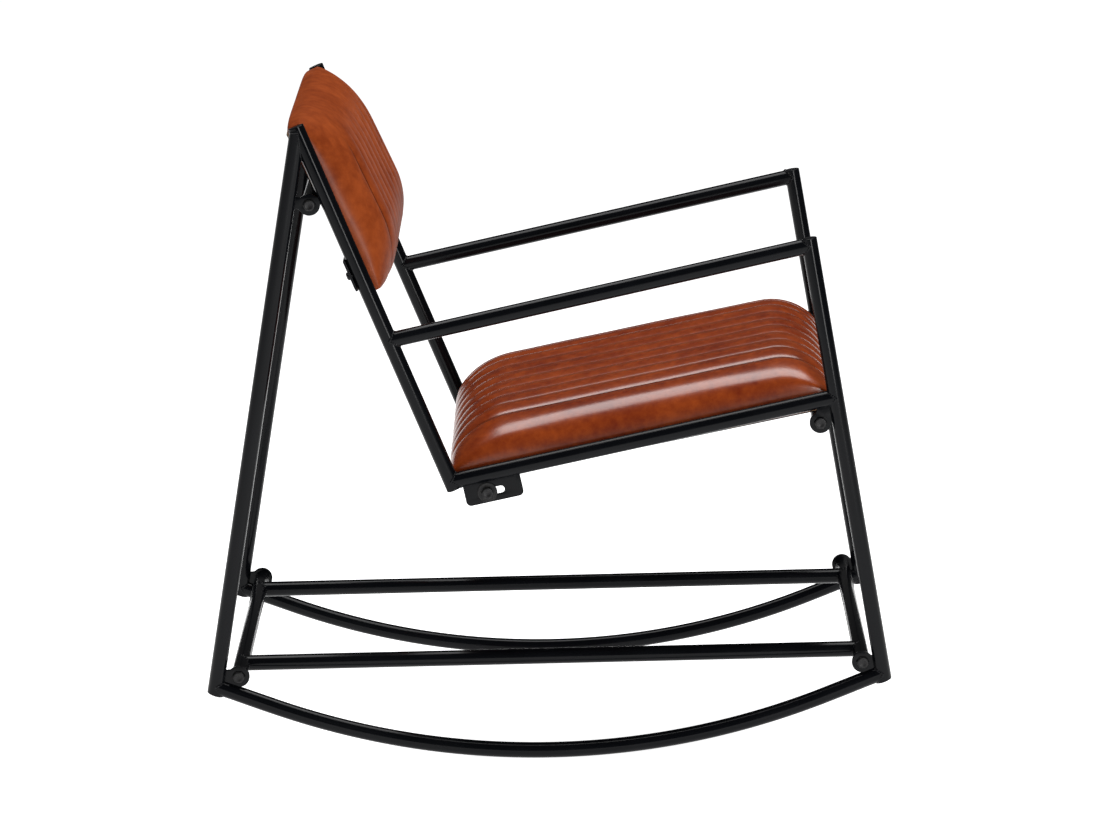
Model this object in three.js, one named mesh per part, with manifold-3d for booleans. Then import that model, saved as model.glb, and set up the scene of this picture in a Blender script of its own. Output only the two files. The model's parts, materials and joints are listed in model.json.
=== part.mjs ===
// Rocking chair: two welded side frames of round steel tube, bolted together by five crossbars,
// with a channelled leather seat and back. Millimetres, +X to the front, +Y to the sitter's left,
// +Z up. The origin is on the floor, under the middle of the chair.
import * as THREE from 'three';
import Module from 'manifold-3d';
import { mergeVertices } from 'three/addons/utils/BufferGeometryUtils.js';

const wasm = await Module();
wasm.setup();

// Tube, fits and cuts
const FRAME_SPACING = 500; // between the middle planes of the two side frames
const TUBE_DIAMETER = 19;
const TUBE_WALL = 1.5;
const CLEARANCE = 0.3; // between touching pieces
const OVERRUN = 5; // how far a cutting tool passes the face it cuts
const MERGE_TOLERANCE = 0.0001;
const VENT_DIAMETER = 6; // vent in a leg, hidden inside the end of the rocker

// Side frame: reaches are horizontal distances from the lowest point of the rocker to a corner on
// the tube axes, heights are over the floor, leans are from the vertical
const ROCKER_RADIUS = 928.7;
const REAR_CORNER_REACH = 381.5;
const FRONT_CORNER_REACH = 420;
const APEX_REACH = 277;
const APEX_HEIGHT = 764;
const POST_LEAN = 23;
const FRONT_LEG_LEAN = 10.1;
const ARM_REAR_HEIGHT = 513;
const ARM_FRONT_HEIGHT = 628;
const SEAT_REAR_HEIGHT = 342;
const SEAT_FRONT_HEIGHT = 445;
const POST_PAST_APEX = 6;
const POST_PAST_RAIL = 11;
const LEG_PAST_ARM = 9;
const FOOT_PAST_ROCKER = 3.5; // how far a leg reaches below the outer side of the rocker

// Lugs and brackets, cut from plate and welded in the middle plane of each side frame
const LUG_THICKNESS = 4;
const LUG_EYE_DIAMETER = 26;
const TOP_LUG_STRIP = 14; // width of its web to the leg
const TOP_LUG_TAB = 10; // width of its web to the post
const BRACKET_LENGTH = 70;
const BRACKET_SETBACK = 12; // from the post axis to the rear end of the slotted bracket
const BRACKET_DROP = 35; // from the seat rail axis to the lower edge of the bracket
const BRACKET_CORNER = 6;
const SLOT_LENGTH = 30;
const SLOT_WIDTH = 9;
const SLOT_SHIFT = 6; // the bolt sits this far behind the middle of the slot

// Daylight between a crossbar and the tubes beside its bolt
const TOP_BAR_TO_POST = 3.6;
const TOP_BAR_TO_LEG = 7;
const SEAT_REAR_BAR_TO_RAIL = 3.5;
const SEAT_REAR_BAR_REACH = 39.5; // along the rail, from the post axis to the bolt
const SEAT_FRONT_BAR_TO_RAIL = 7.3;
const SEAT_FRONT_BAR_TO_LEG = 4.2;
const LOW_BAR_TO_ROCKER = 0.8;
const LOW_REAR_BAR_TO_LEG = 6.5;
const LOW_FRONT_BAR_TO_LEG = 2.9;

// Crossbars, lengthwise rails and frame bolts
const BAR_DIAMETER = 19;
const BAR_WALL = 1.5;
const BAR_BUSH_LENGTH = 16; // threaded bush welded in each end
const BOLT_DIAMETER = 8;
const BOLT_LENGTH = 20;
const BOLT_HEAD_FLATS = 13;
const BOLT_HEAD_HEIGHT = 5.3;
const WASHER_DIAMETER = 24;
const WASHER_THICKNESS = 1.6;
const LOW_RAIL_INSET = 63; // from the middle plane of a side frame to the axis of the rail beside it

// Strap across the rear sides of the posts
const STRAP_WIDTH = 40;
const STRAP_THICKNESS = 3;
const STRAP_END_INSET = 2; // from the outer side of the tube to the end of the strap
const STRAP_BELOW_TOP_BAR = 97;

// Screws, with insets from the middle plane of the side frame
const SCREW_DIAMETER = 5;
const SCREW_HEAD_DIAMETER = 10;
const SCREW_HEAD_HEIGHT = 3;
const SCREW_BITE = 8; // depth of a screw in its board or post
const SEAT_SCREW_INSET = 100;
const BACK_SCREW_INSET = 130;

// Seat: overhangs are past the axes of its two crossbars, heights are over its underside, rounds
// are how far the crown falls away towards an edge
const SEAT_REAR_OVERHANG = 41;
const SEAT_FRONT_OVERHANG = 23.3;
const SEAT_HEIGHT = 79.5;
const SEAT_SKIRT = 20;
const SEAT_REAR_ROUND = 80;
const SEAT_FRONT_ROUND = 65;
const SEAT_SIDE_ROUND = 150;

// Backrest, between the top crossbar and the strap
const BACK_TOP_OVERHANG = 95; // past the axis of the top crossbar
const BACK_LOW_OVERHANG = 35.6; // past the middle of the strap
const BACK_HEIGHT = 62.5;
const BACK_SKIRT = 20;
const BACK_TOP_ROUND = 85;
const BACK_LOW_ROUND = 75;
const BACK_SIDE_ROUND = 100;

// Upholstery that the seat and the backrest share
const PAD_TO_FRAME = 1; // daylight between a pad and the tubes beside it
const COVER_WALL = 4; // quilted leather with its backing, at a seam
const BOARD_THICKNESS = 12;
const BOARD_INSET = 9;
const LINING_THICKNESS = 1.2;
const LINING_INSET = 11;
const BORDER_WIDTH = 59.5; // plain border beside the outermost seam
const CHANNELS = 8;
const CHANNEL_DEPTH = 4;
const SIDE_DRAW_DEPTH = 3;
const CORNER_INSET = 4;

// Shares and counts
const END_FALL_SHARE = 0.65; // power of the crown's fall towards the ends
const SIDE_FALL_SHARE = 0.5; // power of the crown's fall towards the sides
const CORNER_POWER = 6; // how late the sides of a cushion turn in to its corners
const ROCKER_FACETS = 21; // odd, so that a flat facet lies at the lowest point
const TUBE_SIDES = 16;
const BORE_SIDES = 8;
const ROUND_SIDES = 16;
const HEX_SIDES = 6;
const CORNER_STEPS = 4;
const LENGTH_STEPS = 14;
const BORDER_STEPS = 5;
const CHANNEL_STEPS = 4;

const tubeRadius = TUBE_DIAMETER / 2;
const boreRadius = tubeRadius - TUBE_WALL;
const barRadius = BAR_DIAMETER / 2;
const eyeRadius = LUG_EYE_DIAMETER / 2;
const boltHoleRadius = BOLT_DIAMETER / 2 + CLEARANCE;
const screwHoleRadius = SCREW_DIAMETER / 2 + CLEARANCE;
const seatScrewReach = FRAME_SPACING / 2 - SEAT_SCREW_INSET;
const backScrewReach = FRAME_SPACING / 2 - BACK_SCREW_INSET;
const SIDEWAYS = new THREE.Vector3(0, 1, 0);
const UP = new THREE.Vector3(0, 0, 1);
const MIDDLE = new THREE.Vector3(0, 0, 0);
const SIDES = [['right', -1], ['left', 1]];

function finish(color, roughness, metalness) {
  return new THREE.MeshStandardMaterial({ color, roughness, metalness });
}

const powderCoat = finish('#161617', 0.35, 0.2);
const blackZinc = finish('#242426', 0.4, 0.7);
const leather = finish('#93421f', 0.4, 0);
const foam = finish('#e3d9c2', 0.95, 0);
const plywood = finish('#b08d5f', 0.7, 0);
const liningCloth = finish('#1d1c1b', 0.9, 0);

// Points and directions in the side plane
function sidePoint(x, z) {
  return new THREE.Vector3(x, 0, z);
}

function leaning(degrees) {
  const lean = THREE.MathUtils.degToRad(degrees);
  return sidePoint(Math.sin(lean), Math.cos(lean));
}

function between(from, to) {
  return to.clone().sub(from).normalize();
}

function along(start, direction, distance) {
  return start.clone().addScaledVector(direction, distance);
}

// The direction to the right of one that points up
function rightOf(direction) {
  return sidePoint(direction.z, -direction.x);
}

function leftOf(direction) {
  return sidePoint(-direction.z, direction.x);
}

function atHeight(start, direction, height) {
  return along(start, direction, (height - start.z) / direction.z);
}

function crossing(start, direction, other, otherDirection) {
  const normal = rightOf(otherDirection);
  return along(start, direction, other.clone().sub(start).dot(normal) / direction.dot(normal));
}

// The lower one of the two points where a line meets a circle
function lineOnCircle(start, direction, centre, radius) {
  const foot = along(start, direction, centre.clone().sub(start).dot(direction));
  const half = Math.sqrt(radius * radius - foot.distanceToSquared(centre));
  return along(foot, direction, -half * Math.sign(direction.z));
}

// Corners of the side frame, on the tube axes
const facetHalfAngle = Math.asin(FRONT_CORNER_REACH / ROCKER_RADIUS) / ROCKER_FACETS;
const rockerHalfAngle = facetHalfAngle * ROCKER_FACETS;
const rockerCentre = sidePoint(0, (ROCKER_RADIUS + tubeRadius) * Math.cos(facetHalfAngle));

function onRocker(reach) {
  return sidePoint(reach, rockerCentre.z - Math.sqrt(ROCKER_RADIUS * ROCKER_RADIUS - reach * reach));
}

const rearCorner = onRocker(-REAR_CORNER_REACH);
const frontCorner = onRocker(FRONT_CORNER_REACH);
const apex = sidePoint(-APEX_REACH, APEX_HEIGHT);
const postUp = leaning(-POST_LEAN);
const postDown = postUp.clone().negate();
const postFront = rightOf(postUp);
const frontLegUp = leaning(-FRONT_LEG_LEAN);
const backLegUp = between(rearCorner, apex);
const armRear = atHeight(apex, postUp, ARM_REAR_HEIGHT);
const armFront = atHeight(frontCorner, frontLegUp, ARM_FRONT_HEIGHT);
const railRear = atHeight(apex, postUp, SEAT_REAR_HEIGHT);
const railFront = atHeight(frontCorner, frontLegUp, SEAT_FRONT_HEIGHT);
const railForward = between(railRear, railFront);
const postFoot = along(railRear, postDown, POST_PAST_RAIL);
const postTop = along(apex, postUp, POST_PAST_APEX);
const legTop = along(armFront, frontLegUp, LEG_PAST_ARM);

// Bolt axes, each set off from the axes of the two tubes beside it
function setOff(daylight) {
  return tubeRadius + barRadius + daylight;
}

const topBolt = crossing(
  along(apex, leftOf(postUp), setOff(TOP_BAR_TO_POST)), postUp,
  along(apex, rightOf(backLegUp), setOff(TOP_BAR_TO_LEG)), backLegUp);
const seatRearBolt = along(
  along(railRear, railForward, SEAT_REAR_BAR_REACH),
  rightOf(railForward), setOff(SEAT_REAR_BAR_TO_RAIL));
const seatFrontBolt = crossing(
  along(railFront, rightOf(railForward), setOff(SEAT_FRONT_BAR_TO_RAIL)), railForward,
  along(railFront, leftOf(frontLegUp), setOff(SEAT_FRONT_BAR_TO_LEG)), frontLegUp);
const lowBoltCircle = ROCKER_RADIUS - setOff(LOW_BAR_TO_ROCKER);
const lowRearBolt = lineOnCircle(
  along(rearCorner, rightOf(backLegUp), setOff(LOW_REAR_BAR_TO_LEG)), backLegUp,
  rockerCentre, lowBoltCircle);
const lowFrontBolt = lineOnCircle(
  along(frontCorner, leftOf(frontLegUp), setOff(LOW_FRONT_BAR_TO_LEG)), frontLegUp,
  rockerCentre, lowBoltCircle);

// Solids and their geometry
function solidOf(geometry) {
  const bare = geometry.clone();
  bare.deleteAttribute('normal');
  bare.deleteAttribute('uv');
  const merged = mergeVertices(bare, MERGE_TOLERANCE);
  return new wasm.Manifold(new wasm.Mesh({
    numProp: 3,
    vertProperties: new Float32Array(merged.attributes.position.array),
    triVerts: new Uint32Array(merged.index.array),
  }));
}

function geometryOf(solid) {
  const mesh = solid.getMesh();
  const geometry = new THREE.BufferGeometry();
  geometry.setAttribute('position', new THREE.BufferAttribute(mesh.vertProperties, 3));
  geometry.setIndex(new THREE.BufferAttribute(mesh.triVerts, 1));
  geometry.computeVertexNormals();
  return geometry;
}

function piece(name, solid, material) {
  const mesh = new THREE.Mesh(geometryOf(solid), material);
  mesh.name = name;
  return mesh;
}

function without(solid, tools) {
  return tools.reduce((left, tool) => left.subtract(tool), solid);
}

// Round section drawn as a polygon whose flats touch the circle
function roundShape(radius, sides) {
  const corner = radius / Math.cos(Math.PI / sides);
  return new THREE.Shape(Array.from({ length: sides }, (_, k) => {
    const turn = (k + 1 / 2) * 2 * Math.PI / sides;
    return new THREE.Vector2(corner * Math.cos(turn), corner * Math.sin(turn));
  }));
}

// Puts a geometry that is drawn along +Z at a point, along a direction; across is square to it
function turned(geometry, origin, direction, across) {
  const side = new THREE.Vector3().crossVectors(across, direction);
  return geometry.applyMatrix4(new THREE.Matrix4().makeBasis(side, across, direction).setPosition(origin));
}

function rod(start, end, radius, sides = TUBE_SIDES, across = SIDEWAYS) {
  const depth = start.distanceTo(end);
  const bar = new THREE.ExtrudeGeometry(roundShape(radius, sides), { depth, bevelEnabled: false });
  return solidOf(turned(bar, start, between(start, end), across));
}

function longRod(start, end, radius, past, sides = TUBE_SIDES, across = SIDEWAYS) {
  const direction = between(start, end);
  return rod(along(start, direction, -past), along(end, direction, past), radius, sides, across);
}

// A rod along +Y, between two places measured from a point in the side plane
function crossRod(middle, from, to, radius, sides = ROUND_SIDES, across = UP) {
  return rod(along(middle, SIDEWAYS, from), along(middle, SIDEWAYS, to), radius, sides, across);
}

// A plate in the middle plane of the frame, from an outline of side points
function plate(points, thickness) {
  const shape = new THREE.Shape(points.map((point) => new THREE.Vector2(point.x, -point.z)));
  const flat = new THREE.ExtrudeGeometry(shape, { depth: thickness, bevelEnabled: false });
  return solidOf(turned(flat, sidePoint(0, 0).setY(-thickness / 2), SIDEWAYS, UP.clone().negate()));
}

function block(length, width, height) {
  return new THREE.BoxGeometry(length, width, height).translate(0, 0, height / 2);
}

// Everything past a plane near a corner of the frame
function beyond(point, outward) {
  const size = REAR_CORNER_REACH + FRONT_CORNER_REACH;
  return solidOf(turned(block(size, size, size), point, outward, SIDEWAYS));
}

// Side-frame tubes, coped to the tubes that they meet
function tubeSpace(start, end) {
  return longRod(start, end, tubeRadius + CLEARANCE, 2 * TUBE_DIAMETER);
}

const postSpace = tubeSpace(postTop, postFoot);
const backLegSpace = tubeSpace(rearCorner, apex);
const frontLegSpace = tubeSpace(frontCorner, legTop);
const railSpace = rod(railRear, railFront, tubeRadius + CLEARANCE);

function openTube(start, end, neighbours) {
  const bore = longRod(start, end, boreRadius, OVERRUN, BORE_SIDES);
  return without(rod(start, end, tubeRadius), [bore, ...neighbours]);
}

function makePost() {
  const bore = rod(
    along(postTop, postDown, TUBE_WALL), along(postFoot, postDown, OVERRUN), boreRadius, BORE_SIDES);
  const hole = rod(
    along(strapMiddle, postFront, -TUBE_DIAMETER), along(strapMiddle, postFront, tubeRadius),
    screwHoleRadius, ROUND_SIDES);
  return without(rod(postTop, postFoot, tubeRadius), [bore, hole]);
}

// The foot of a leg is closed by a plate, cut midway between square and the slope of the rocker
function footedLeg(corner, legUp, top, boreTop) {
  const radial = between(rockerCentre, corner);
  const outward = radial.clone().sub(legUp).normalize();
  const inward = rightOf(radial).multiplyScalar(Math.sign(corner.x));
  const heel = along(along(corner, radial, tubeRadius + FOOT_PAST_ROCKER), inward, tubeRadius);
  const low = along(corner, legUp, -2 * TUBE_DIAMETER);
  const outer = rod(low, top, tubeRadius).subtract(beyond(heel, outward));
  const bore = rod(low, boreTop, boreRadius, BORE_SIDES)
    .subtract(beyond(along(heel, outward, -TUBE_WALL), outward));
  const vent = rod(corner, along(corner, inward, TUBE_DIAMETER), VENT_DIAMETER / 2, BORE_SIDES);
  return without(outer, [bore, vent]);
}

function makeBackLeg() {
  return footedLeg(rearCorner, backLegUp, apex, along(apex, backLegUp, OVERRUN)).subtract(postSpace);
}

function makeFrontLeg() {
  return footedLeg(frontCorner, frontLegUp, legTop, along(legTop, frontLegUp, -TUBE_WALL));
}

class RockerLine extends THREE.Curve {
  getPoint(share, target = new THREE.Vector3()) {
    const angle = rockerHalfAngle * (2 * share - 1);
    const drop = ROCKER_RADIUS * Math.cos(angle);
    return target.set(ROCKER_RADIUS * Math.sin(angle), 0, rockerCentre.z - drop);
  }
}

function bentRod(radius, sides) {
  return solidOf(new THREE.ExtrudeGeometry(
    roundShape(radius, sides), { steps: ROCKER_FACETS, extrudePath: new RockerLine() }));
}

const rockerSpace = bentRod(tubeRadius + CLEARANCE, TUBE_SIDES);

function makeRocker() {
  return without(bentRod(tubeRadius, TUBE_SIDES), [
    bentRod(boreRadius, BORE_SIDES),
    beyond(rearCorner, leftOf(backLegUp)), beyond(frontCorner, rightOf(frontLegUp)),
    backLegSpace, frontLegSpace]);
}

// Lugs: an eye round the bolt, and webs that reach the tubes beside it
function lug(bolt, webs, neighbours) {
  const half = LUG_THICKNESS / 2;
  const eye = crossRod(bolt, -half, half, eyeRadius);
  const hole = crossRod(bolt, -LUG_THICKNESS, LUG_THICKNESS, boltHoleRadius);
  const blank = webs.reduce((joined, web) => joined.add(plate(web, LUG_THICKNESS)), eye);
  return without(blank, [...neighbours, hole]);
}

// A straight web from the bolt, as wide as given
function straightWeb(bolt, direction, length, width) {
  const end = along(bolt, direction, length);
  const side = leftOf(direction);
  return [
    along(bolt, side, -width / 2), along(end, side, -width / 2),
    along(end, side, width / 2), along(bolt, side, width / 2)];
}

// A web from a corner of the frame to both sides of the eye
function cornerWeb(bolt, corner) {
  const reach = corner.distanceTo(bolt);
  const spread = Math.asin(eyeRadius / reach);
  const touch = Math.sqrt(reach * reach - eyeRadius * eyeRadius);
  const tangentPoint = (turn) =>
    along(corner, between(corner, bolt).applyAxisAngle(SIDEWAYS, turn), touch);
  return [corner, tangentPoint(-spread), bolt, tangentPoint(spread)];
}

function makeCornerLug(bolt, corner, neighbours) {
  return lug(bolt, [cornerWeb(bolt, corner)], neighbours);
}

function makeTopLug() {
  const webs = [
    straightWeb(topBolt, leftOf(backLegUp), setOff(TOP_BAR_TO_LEG), TOP_LUG_STRIP),
    straightWeb(topBolt, postFront, setOff(TOP_BAR_TO_POST), TOP_LUG_TAB)];
  return lug(topBolt, webs, [postSpace, backLegSpace]);
}

// A round corner of the bracket, as points from one straight edge to the other
function bracketCorner(centre, startTurn) {
  return Array.from({ length: CORNER_STEPS + 1 }, (_, k) => {
    const turn = startTurn + k / CORNER_STEPS * Math.PI / 2;
    return along(
      along(centre, railForward, BRACKET_CORNER * Math.cos(turn)),
      rightOf(railForward), BRACKET_CORNER * Math.sin(turn));
  });
}

function makeSlottedBracket() {
  const low = rightOf(railForward);
  const inBracket = (forward, down) =>
    along(along(railRear, railForward, BRACKET_SETBACK + forward), low, down);
  const cornerDrop = BRACKET_DROP - BRACKET_CORNER;
  const outline = [
    inBracket(0, 0), inBracket(BRACKET_LENGTH, 0),
    ...bracketCorner(inBracket(BRACKET_LENGTH - BRACKET_CORNER, cornerDrop), 0),
    ...bracketCorner(inBracket(BRACKET_CORNER, cornerDrop), Math.PI / 2)];
  const slotMiddle = along(seatRearBolt, railForward, SLOT_SHIFT);
  const reach = (SLOT_LENGTH - SLOT_WIDTH) / 2;
  const slotCorner = (forward, down) =>
    along(along(slotMiddle, railForward, forward * reach), low, down * SLOT_WIDTH / 2);
  const window = plate(
    [slotCorner(-1, -1), slotCorner(1, -1), slotCorner(1, 1), slotCorner(-1, 1)], 2 * LUG_THICKNESS);
  const slotEnds = [-reach, reach].map((shift) => crossRod(
    along(slotMiddle, railForward, shift), -LUG_THICKNESS, LUG_THICKNESS,
    SLOT_WIDTH / 2, ROUND_SIDES, low));
  return without(plate(outline, LUG_THICKNESS), [postSpace, railSpace, window, ...slotEnds]);
}

// The strap lies across the rear sides of the posts
const strapShift = topBolt.clone().sub(apex).dot(postDown) + STRAP_BELOW_TOP_BAR;
const strapMiddle = along(
  along(apex, postDown, strapShift), postFront, -tubeRadius - CLEARANCE - STRAP_THICKNESS / 2);

function strapHoles(...reaches) {
  return reaches.flatMap((reach) => SIDES.map(([, sign]) => along(strapMiddle, SIDEWAYS, sign * reach)));
}

function makeStrap() {
  const width = FRAME_SPACING + TUBE_DIAMETER - 2 * STRAP_END_INSET;
  const bar = block(STRAP_WIDTH, width, STRAP_THICKNESS);
  const low = along(strapMiddle, postFront, -STRAP_THICKNESS / 2);
  const holes = strapHoles(FRAME_SPACING / 2, backScrewReach).map((place) =>
    rod(along(place, postFront, -OVERRUN), along(place, postFront, OVERRUN),
      screwHoleRadius, ROUND_SIDES));
  return without(solidOf(turned(bar, low, postFront, SIDEWAYS)), holes);
}

// Planes that the seat and the backrest rest on, each through the underside of its pad
const restLift = barRadius + CLEARANCE;

function seatPlane() {
  const direction = between(seatRearBolt, seatFrontBolt);
  return { origin: along(seatRearBolt, leftOf(direction), restLift), direction };
}

function backPlane() {
  const edge = along(along(strapMiddle, postUp, STRAP_WIDTH / 2), postFront, STRAP_THICKNESS / 2 + CLEARANCE);
  const lean = Math.asin(restLift / edge.distanceTo(topBolt));
  const direction = between(topBolt, edge).applyAxisAngle(SIDEWAYS, lean);
  return { origin: along(topBolt, leftOf(direction), restLift), direction };
}

const seatRest = seatPlane();
const backRest = backPlane();

function restingGroup(rest) {
  const group = new THREE.Group();
  group.position.copy(rest.origin);
  group.rotation.y = Math.atan2(-rest.direction.z, rest.direction.x);
  return group;
}

// Upholstery
const padWidth = FRAME_SPACING - TUBE_DIAMETER - 2 * PAD_TO_FRAME;
const padHalfWidth = padWidth / 2;
const seamLimit = padHalfWidth - BORDER_WIDTH;
const channelPitch = 2 * seamLimit / CHANNELS;
const boardRise = LINING_THICKNESS + CLEARANCE;
const foamRise = boardRise + BOARD_THICKNESS + CLEARANCE;

function fall(distance, round, power) {
  const left = Math.max(0, 1 - distance / round);
  return (1 - left * left) ** power;
}

// Places across the pad: seams and channel crowns, and a border that is finer at its edge
function widthStations(steps) {
  const outer = Array.from({ length: BORDER_STEPS }, (_, k) =>
    padHalfWidth - BORDER_WIDTH * (1 - Math.cos(k / BORDER_STEPS * Math.PI / 2)));
  const inner = Array.from({ length: steps + 1 }, (_, k) => seamLimit * (2 * k / steps - 1));
  return [...outer.map((y) => -y), ...inner, ...outer.toReversed()];
}

function seamDip(y) {
  const inChannels = Math.abs(y) < seamLimit;
  const puff = inChannels
    ? Math.abs(Math.sin(Math.PI * (y + seamLimit) / channelPitch))
    : fall(Math.abs(y) - seamLimit, BORDER_WIDTH, 1);
  return CHANNEL_DEPTH * (1 - puff);
}

const coverStations = widthStations(CHANNELS * CHANNEL_STEPS);
const coreStations = widthStations(CHANNELS);

// A crowned form: its sides draw in between its corners, and its top falls away to a skirt. It is
// the outer form of the pad, with channels, or lies inset below the seams of that form
function padForm(sizes, inset, low) {
  const channelled = inset === 0;
  const stations = channelled ? coverStations : coreStations;
  const widthSteps = stations.length - 1;
  const geometry = new THREE.BoxGeometry(1, 1, 1, LENGTH_STEPS, widthSteps, 1);
  const position = geometry.attributes.position;
  const half = sizes.length / 2 - inset;
  const halfWidth = padHalfWidth - inset;
  for (let k = 0; k < position.count; k += 1) {
    const endward = Math.sin(position.getX(k) * Math.PI);
    const station = stations[Math.round((position.getY(k) + 1 / 2) * widthSteps)];
    const sideward = station / padHalfWidth;
    const pull = CORNER_INSET * endward ** CORNER_POWER + SIDE_DRAW_DEPTH * (1 - endward * endward);
    const x = endward * (half - CORNER_INSET * sideward ** CORNER_POWER);
    const y = sideward * (halfWidth - pull * sideward ** CORNER_POWER);
    const swell = fall(half * (1 + endward), sizes.startRound, END_FALL_SHARE)
      * fall(half * (1 - endward), sizes.endRound, END_FALL_SHARE)
      * fall(halfWidth * (1 - Math.abs(sideward)), sizes.sideRound, SIDE_FALL_SHARE);
    const dip = channelled ? seamDip(station) : CHANNEL_DEPTH;
    const crown = sizes.skirt + (sizes.height - sizes.skirt - dip) * swell - inset;
    position.setXYZ(k, x, y, position.getZ(k) > 0 ? crown : low);
  }
  return solidOf(geometry);
}

function makeCover(sizes) {
  return padForm(sizes, 0, 0).subtract(padForm(sizes, COVER_WALL, -OVERRUN));
}

function makeFoam(sizes) {
  const under = block(sizes.length, padWidth, foamRise + OVERRUN).translate(0, 0, -OVERRUN);
  return padForm(sizes, COVER_WALL + CLEARANCE, 0).subtract(solidOf(under));
}

// A pad: a cover round the foam and the edges of the board, and the lining under the board. Places
// of screws are measured from the crossbar that the pad overhangs
function padPieces(name, sizes, screwPlaces) {
  const shift = sizes.length / 2 - sizes.overhang;
  const board = block(sizes.length - 2 * BOARD_INSET, padWidth - 2 * BOARD_INSET, BOARD_THICKNESS)
    .translate(0, 0, boardRise);
  const lining = block(sizes.length - 2 * LINING_INSET, padWidth - 2 * LINING_INSET, LINING_THICKNESS);
  const holes = screwPlaces.map(({ x, y }) => rod(
    new THREE.Vector3(x - shift, y, -OVERRUN),
    new THREE.Vector3(x - shift, y, boardRise + SCREW_BITE + CLEARANCE), screwHoleRadius, ROUND_SIDES));
  const pieces = [
    piece(`${name}_cover`, makeCover(sizes), leather),
    piece(`${name}_foam`, makeFoam(sizes), foam),
    piece(`${name}_board`, without(solidOf(board), holes), plywood),
    piece(`${name}_lining`, without(solidOf(lining), holes), liningCloth)];
  for (const part of pieces) {
    part.position.x = shift;
  }
  return pieces;
}

// A screw along +Z that is flush with z = 0 where it enters what it bites
function screwSolid(grip, bite) {
  const bearing = sidePoint(0, -grip);
  const headEnd = sidePoint(0, -grip - SCREW_HEAD_HEIGHT);
  const shankRadius = SCREW_DIAMETER / 2 * Math.cos(Math.PI / ROUND_SIDES);
  return rod(bearing, sidePoint(0, bite), shankRadius, ROUND_SIDES)
    .add(rod(headEnd, bearing, SCREW_HEAD_DIAMETER / 2, ROUND_SIDES));
}

// Each pad spans two supports, and overhangs both
const toStrap = strapMiddle.clone().sub(backRest.origin);
const seatSpan = seatRearBolt.distanceTo(seatFrontBolt);
const backSpan = toStrap.dot(backRest.direction);
const seatSizes = {
  length: SEAT_REAR_OVERHANG + seatSpan + SEAT_FRONT_OVERHANG, overhang: SEAT_REAR_OVERHANG,
  height: SEAT_HEIGHT, skirt: SEAT_SKIRT,
  startRound: SEAT_REAR_ROUND, endRound: SEAT_FRONT_ROUND, sideRound: SEAT_SIDE_ROUND,
};
const backSizes = {
  length: BACK_TOP_OVERHANG + backSpan + BACK_LOW_OVERHANG, overhang: BACK_TOP_OVERHANG,
  height: BACK_HEIGHT, skirt: BACK_SKIRT,
  startRound: BACK_TOP_ROUND, endRound: BACK_LOW_ROUND, sideRound: BACK_SIDE_ROUND,
};

function makeSeat() {
  const group = restingGroup(seatRest);
  const places = [['rear', 0], ['front', seatSpan]].flatMap(([end, x]) => SIDES.map(([side, sign]) =>
    ({ name: `${side}_seat_${end}_screw`, x, y: sign * seatScrewReach })));
  group.add(...padPieces('seat', seatSizes, places));
  const screw = screwSolid(2 * CLEARANCE + BAR_DIAMETER, boardRise + SCREW_BITE);
  for (const { name, x, y } of places) {
    const mesh = piece(name, screw, blackZinc);
    mesh.position.set(x, y, 0);
    group.add(mesh);
  }
  return group;
}

function makeBack() {
  const group = restingGroup(backRest);
  const strapDepth = -toStrap.dot(leftOf(backRest.direction)) + STRAP_THICKNESS / 2;
  const places = SIDES.map(([side, sign]) =>
    ({ name: `${side}_back_screw`, x: backSpan, y: sign * backScrewReach }));
  group.add(...padPieces('back', backSizes, places));
  const screw = screwSolid(strapDepth + 2 * CLEARANCE, boardRise + SCREW_BITE);
  for (const { name, x, y } of places) {
    const mesh = piece(name, screw, blackZinc);
    mesh.position.set(x, y, 0);
    group.add(mesh);
  }
  return group;
}

// Crossbars with a threaded bush in each end
const barHalf = FRAME_SPACING / 2 - LUG_THICKNESS / 2 - CLEARANCE;

function crossbar(bolt, normal) {
  const hollow = barHalf - BAR_BUSH_LENGTH;
  const past = barHalf + OVERRUN;
  return without(crossRod(bolt, -barHalf, barHalf, barRadius, TUBE_SIDES, normal), [
    crossRod(bolt, -hollow, hollow, barRadius - BAR_WALL, BORE_SIDES, normal),
    crossRod(bolt, -past, past, boltHoleRadius)]);
}

function seatBarHoles(bolt, normal) {
  return SIDES.map(([, sign]) => {
    const middle = along(bolt, SIDEWAYS, sign * seatScrewReach);
    return rod(along(middle, normal, -BAR_DIAMETER), along(middle, normal, BAR_DIAMETER),
      screwHoleRadius, ROUND_SIDES);
  });
}

// Hexagon bolt, with its head on the outer side of the lug at +Y
function frameBolt(stack) {
  const bearing = LUG_THICKNESS / 2 + stack;
  const shankRadius = BOLT_DIAMETER / 2 * Math.cos(Math.PI / ROUND_SIDES);
  return crossRod(MIDDLE, bearing, bearing + BOLT_HEAD_HEIGHT, BOLT_HEAD_FLATS / 2, HEX_SIDES)
    .add(crossRod(MIDDLE, bearing - BOLT_LENGTH, bearing, shankRadius));
}

function makeWasher() {
  const low = LUG_THICKNESS / 2 + CLEARANCE;
  const high = low + WASHER_THICKNESS;
  return crossRod(MIDDLE, low, high, WASHER_DIAMETER / 2)
    .subtract(crossRod(MIDDLE, 0, high + OVERRUN, boltHoleRadius));
}

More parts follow.
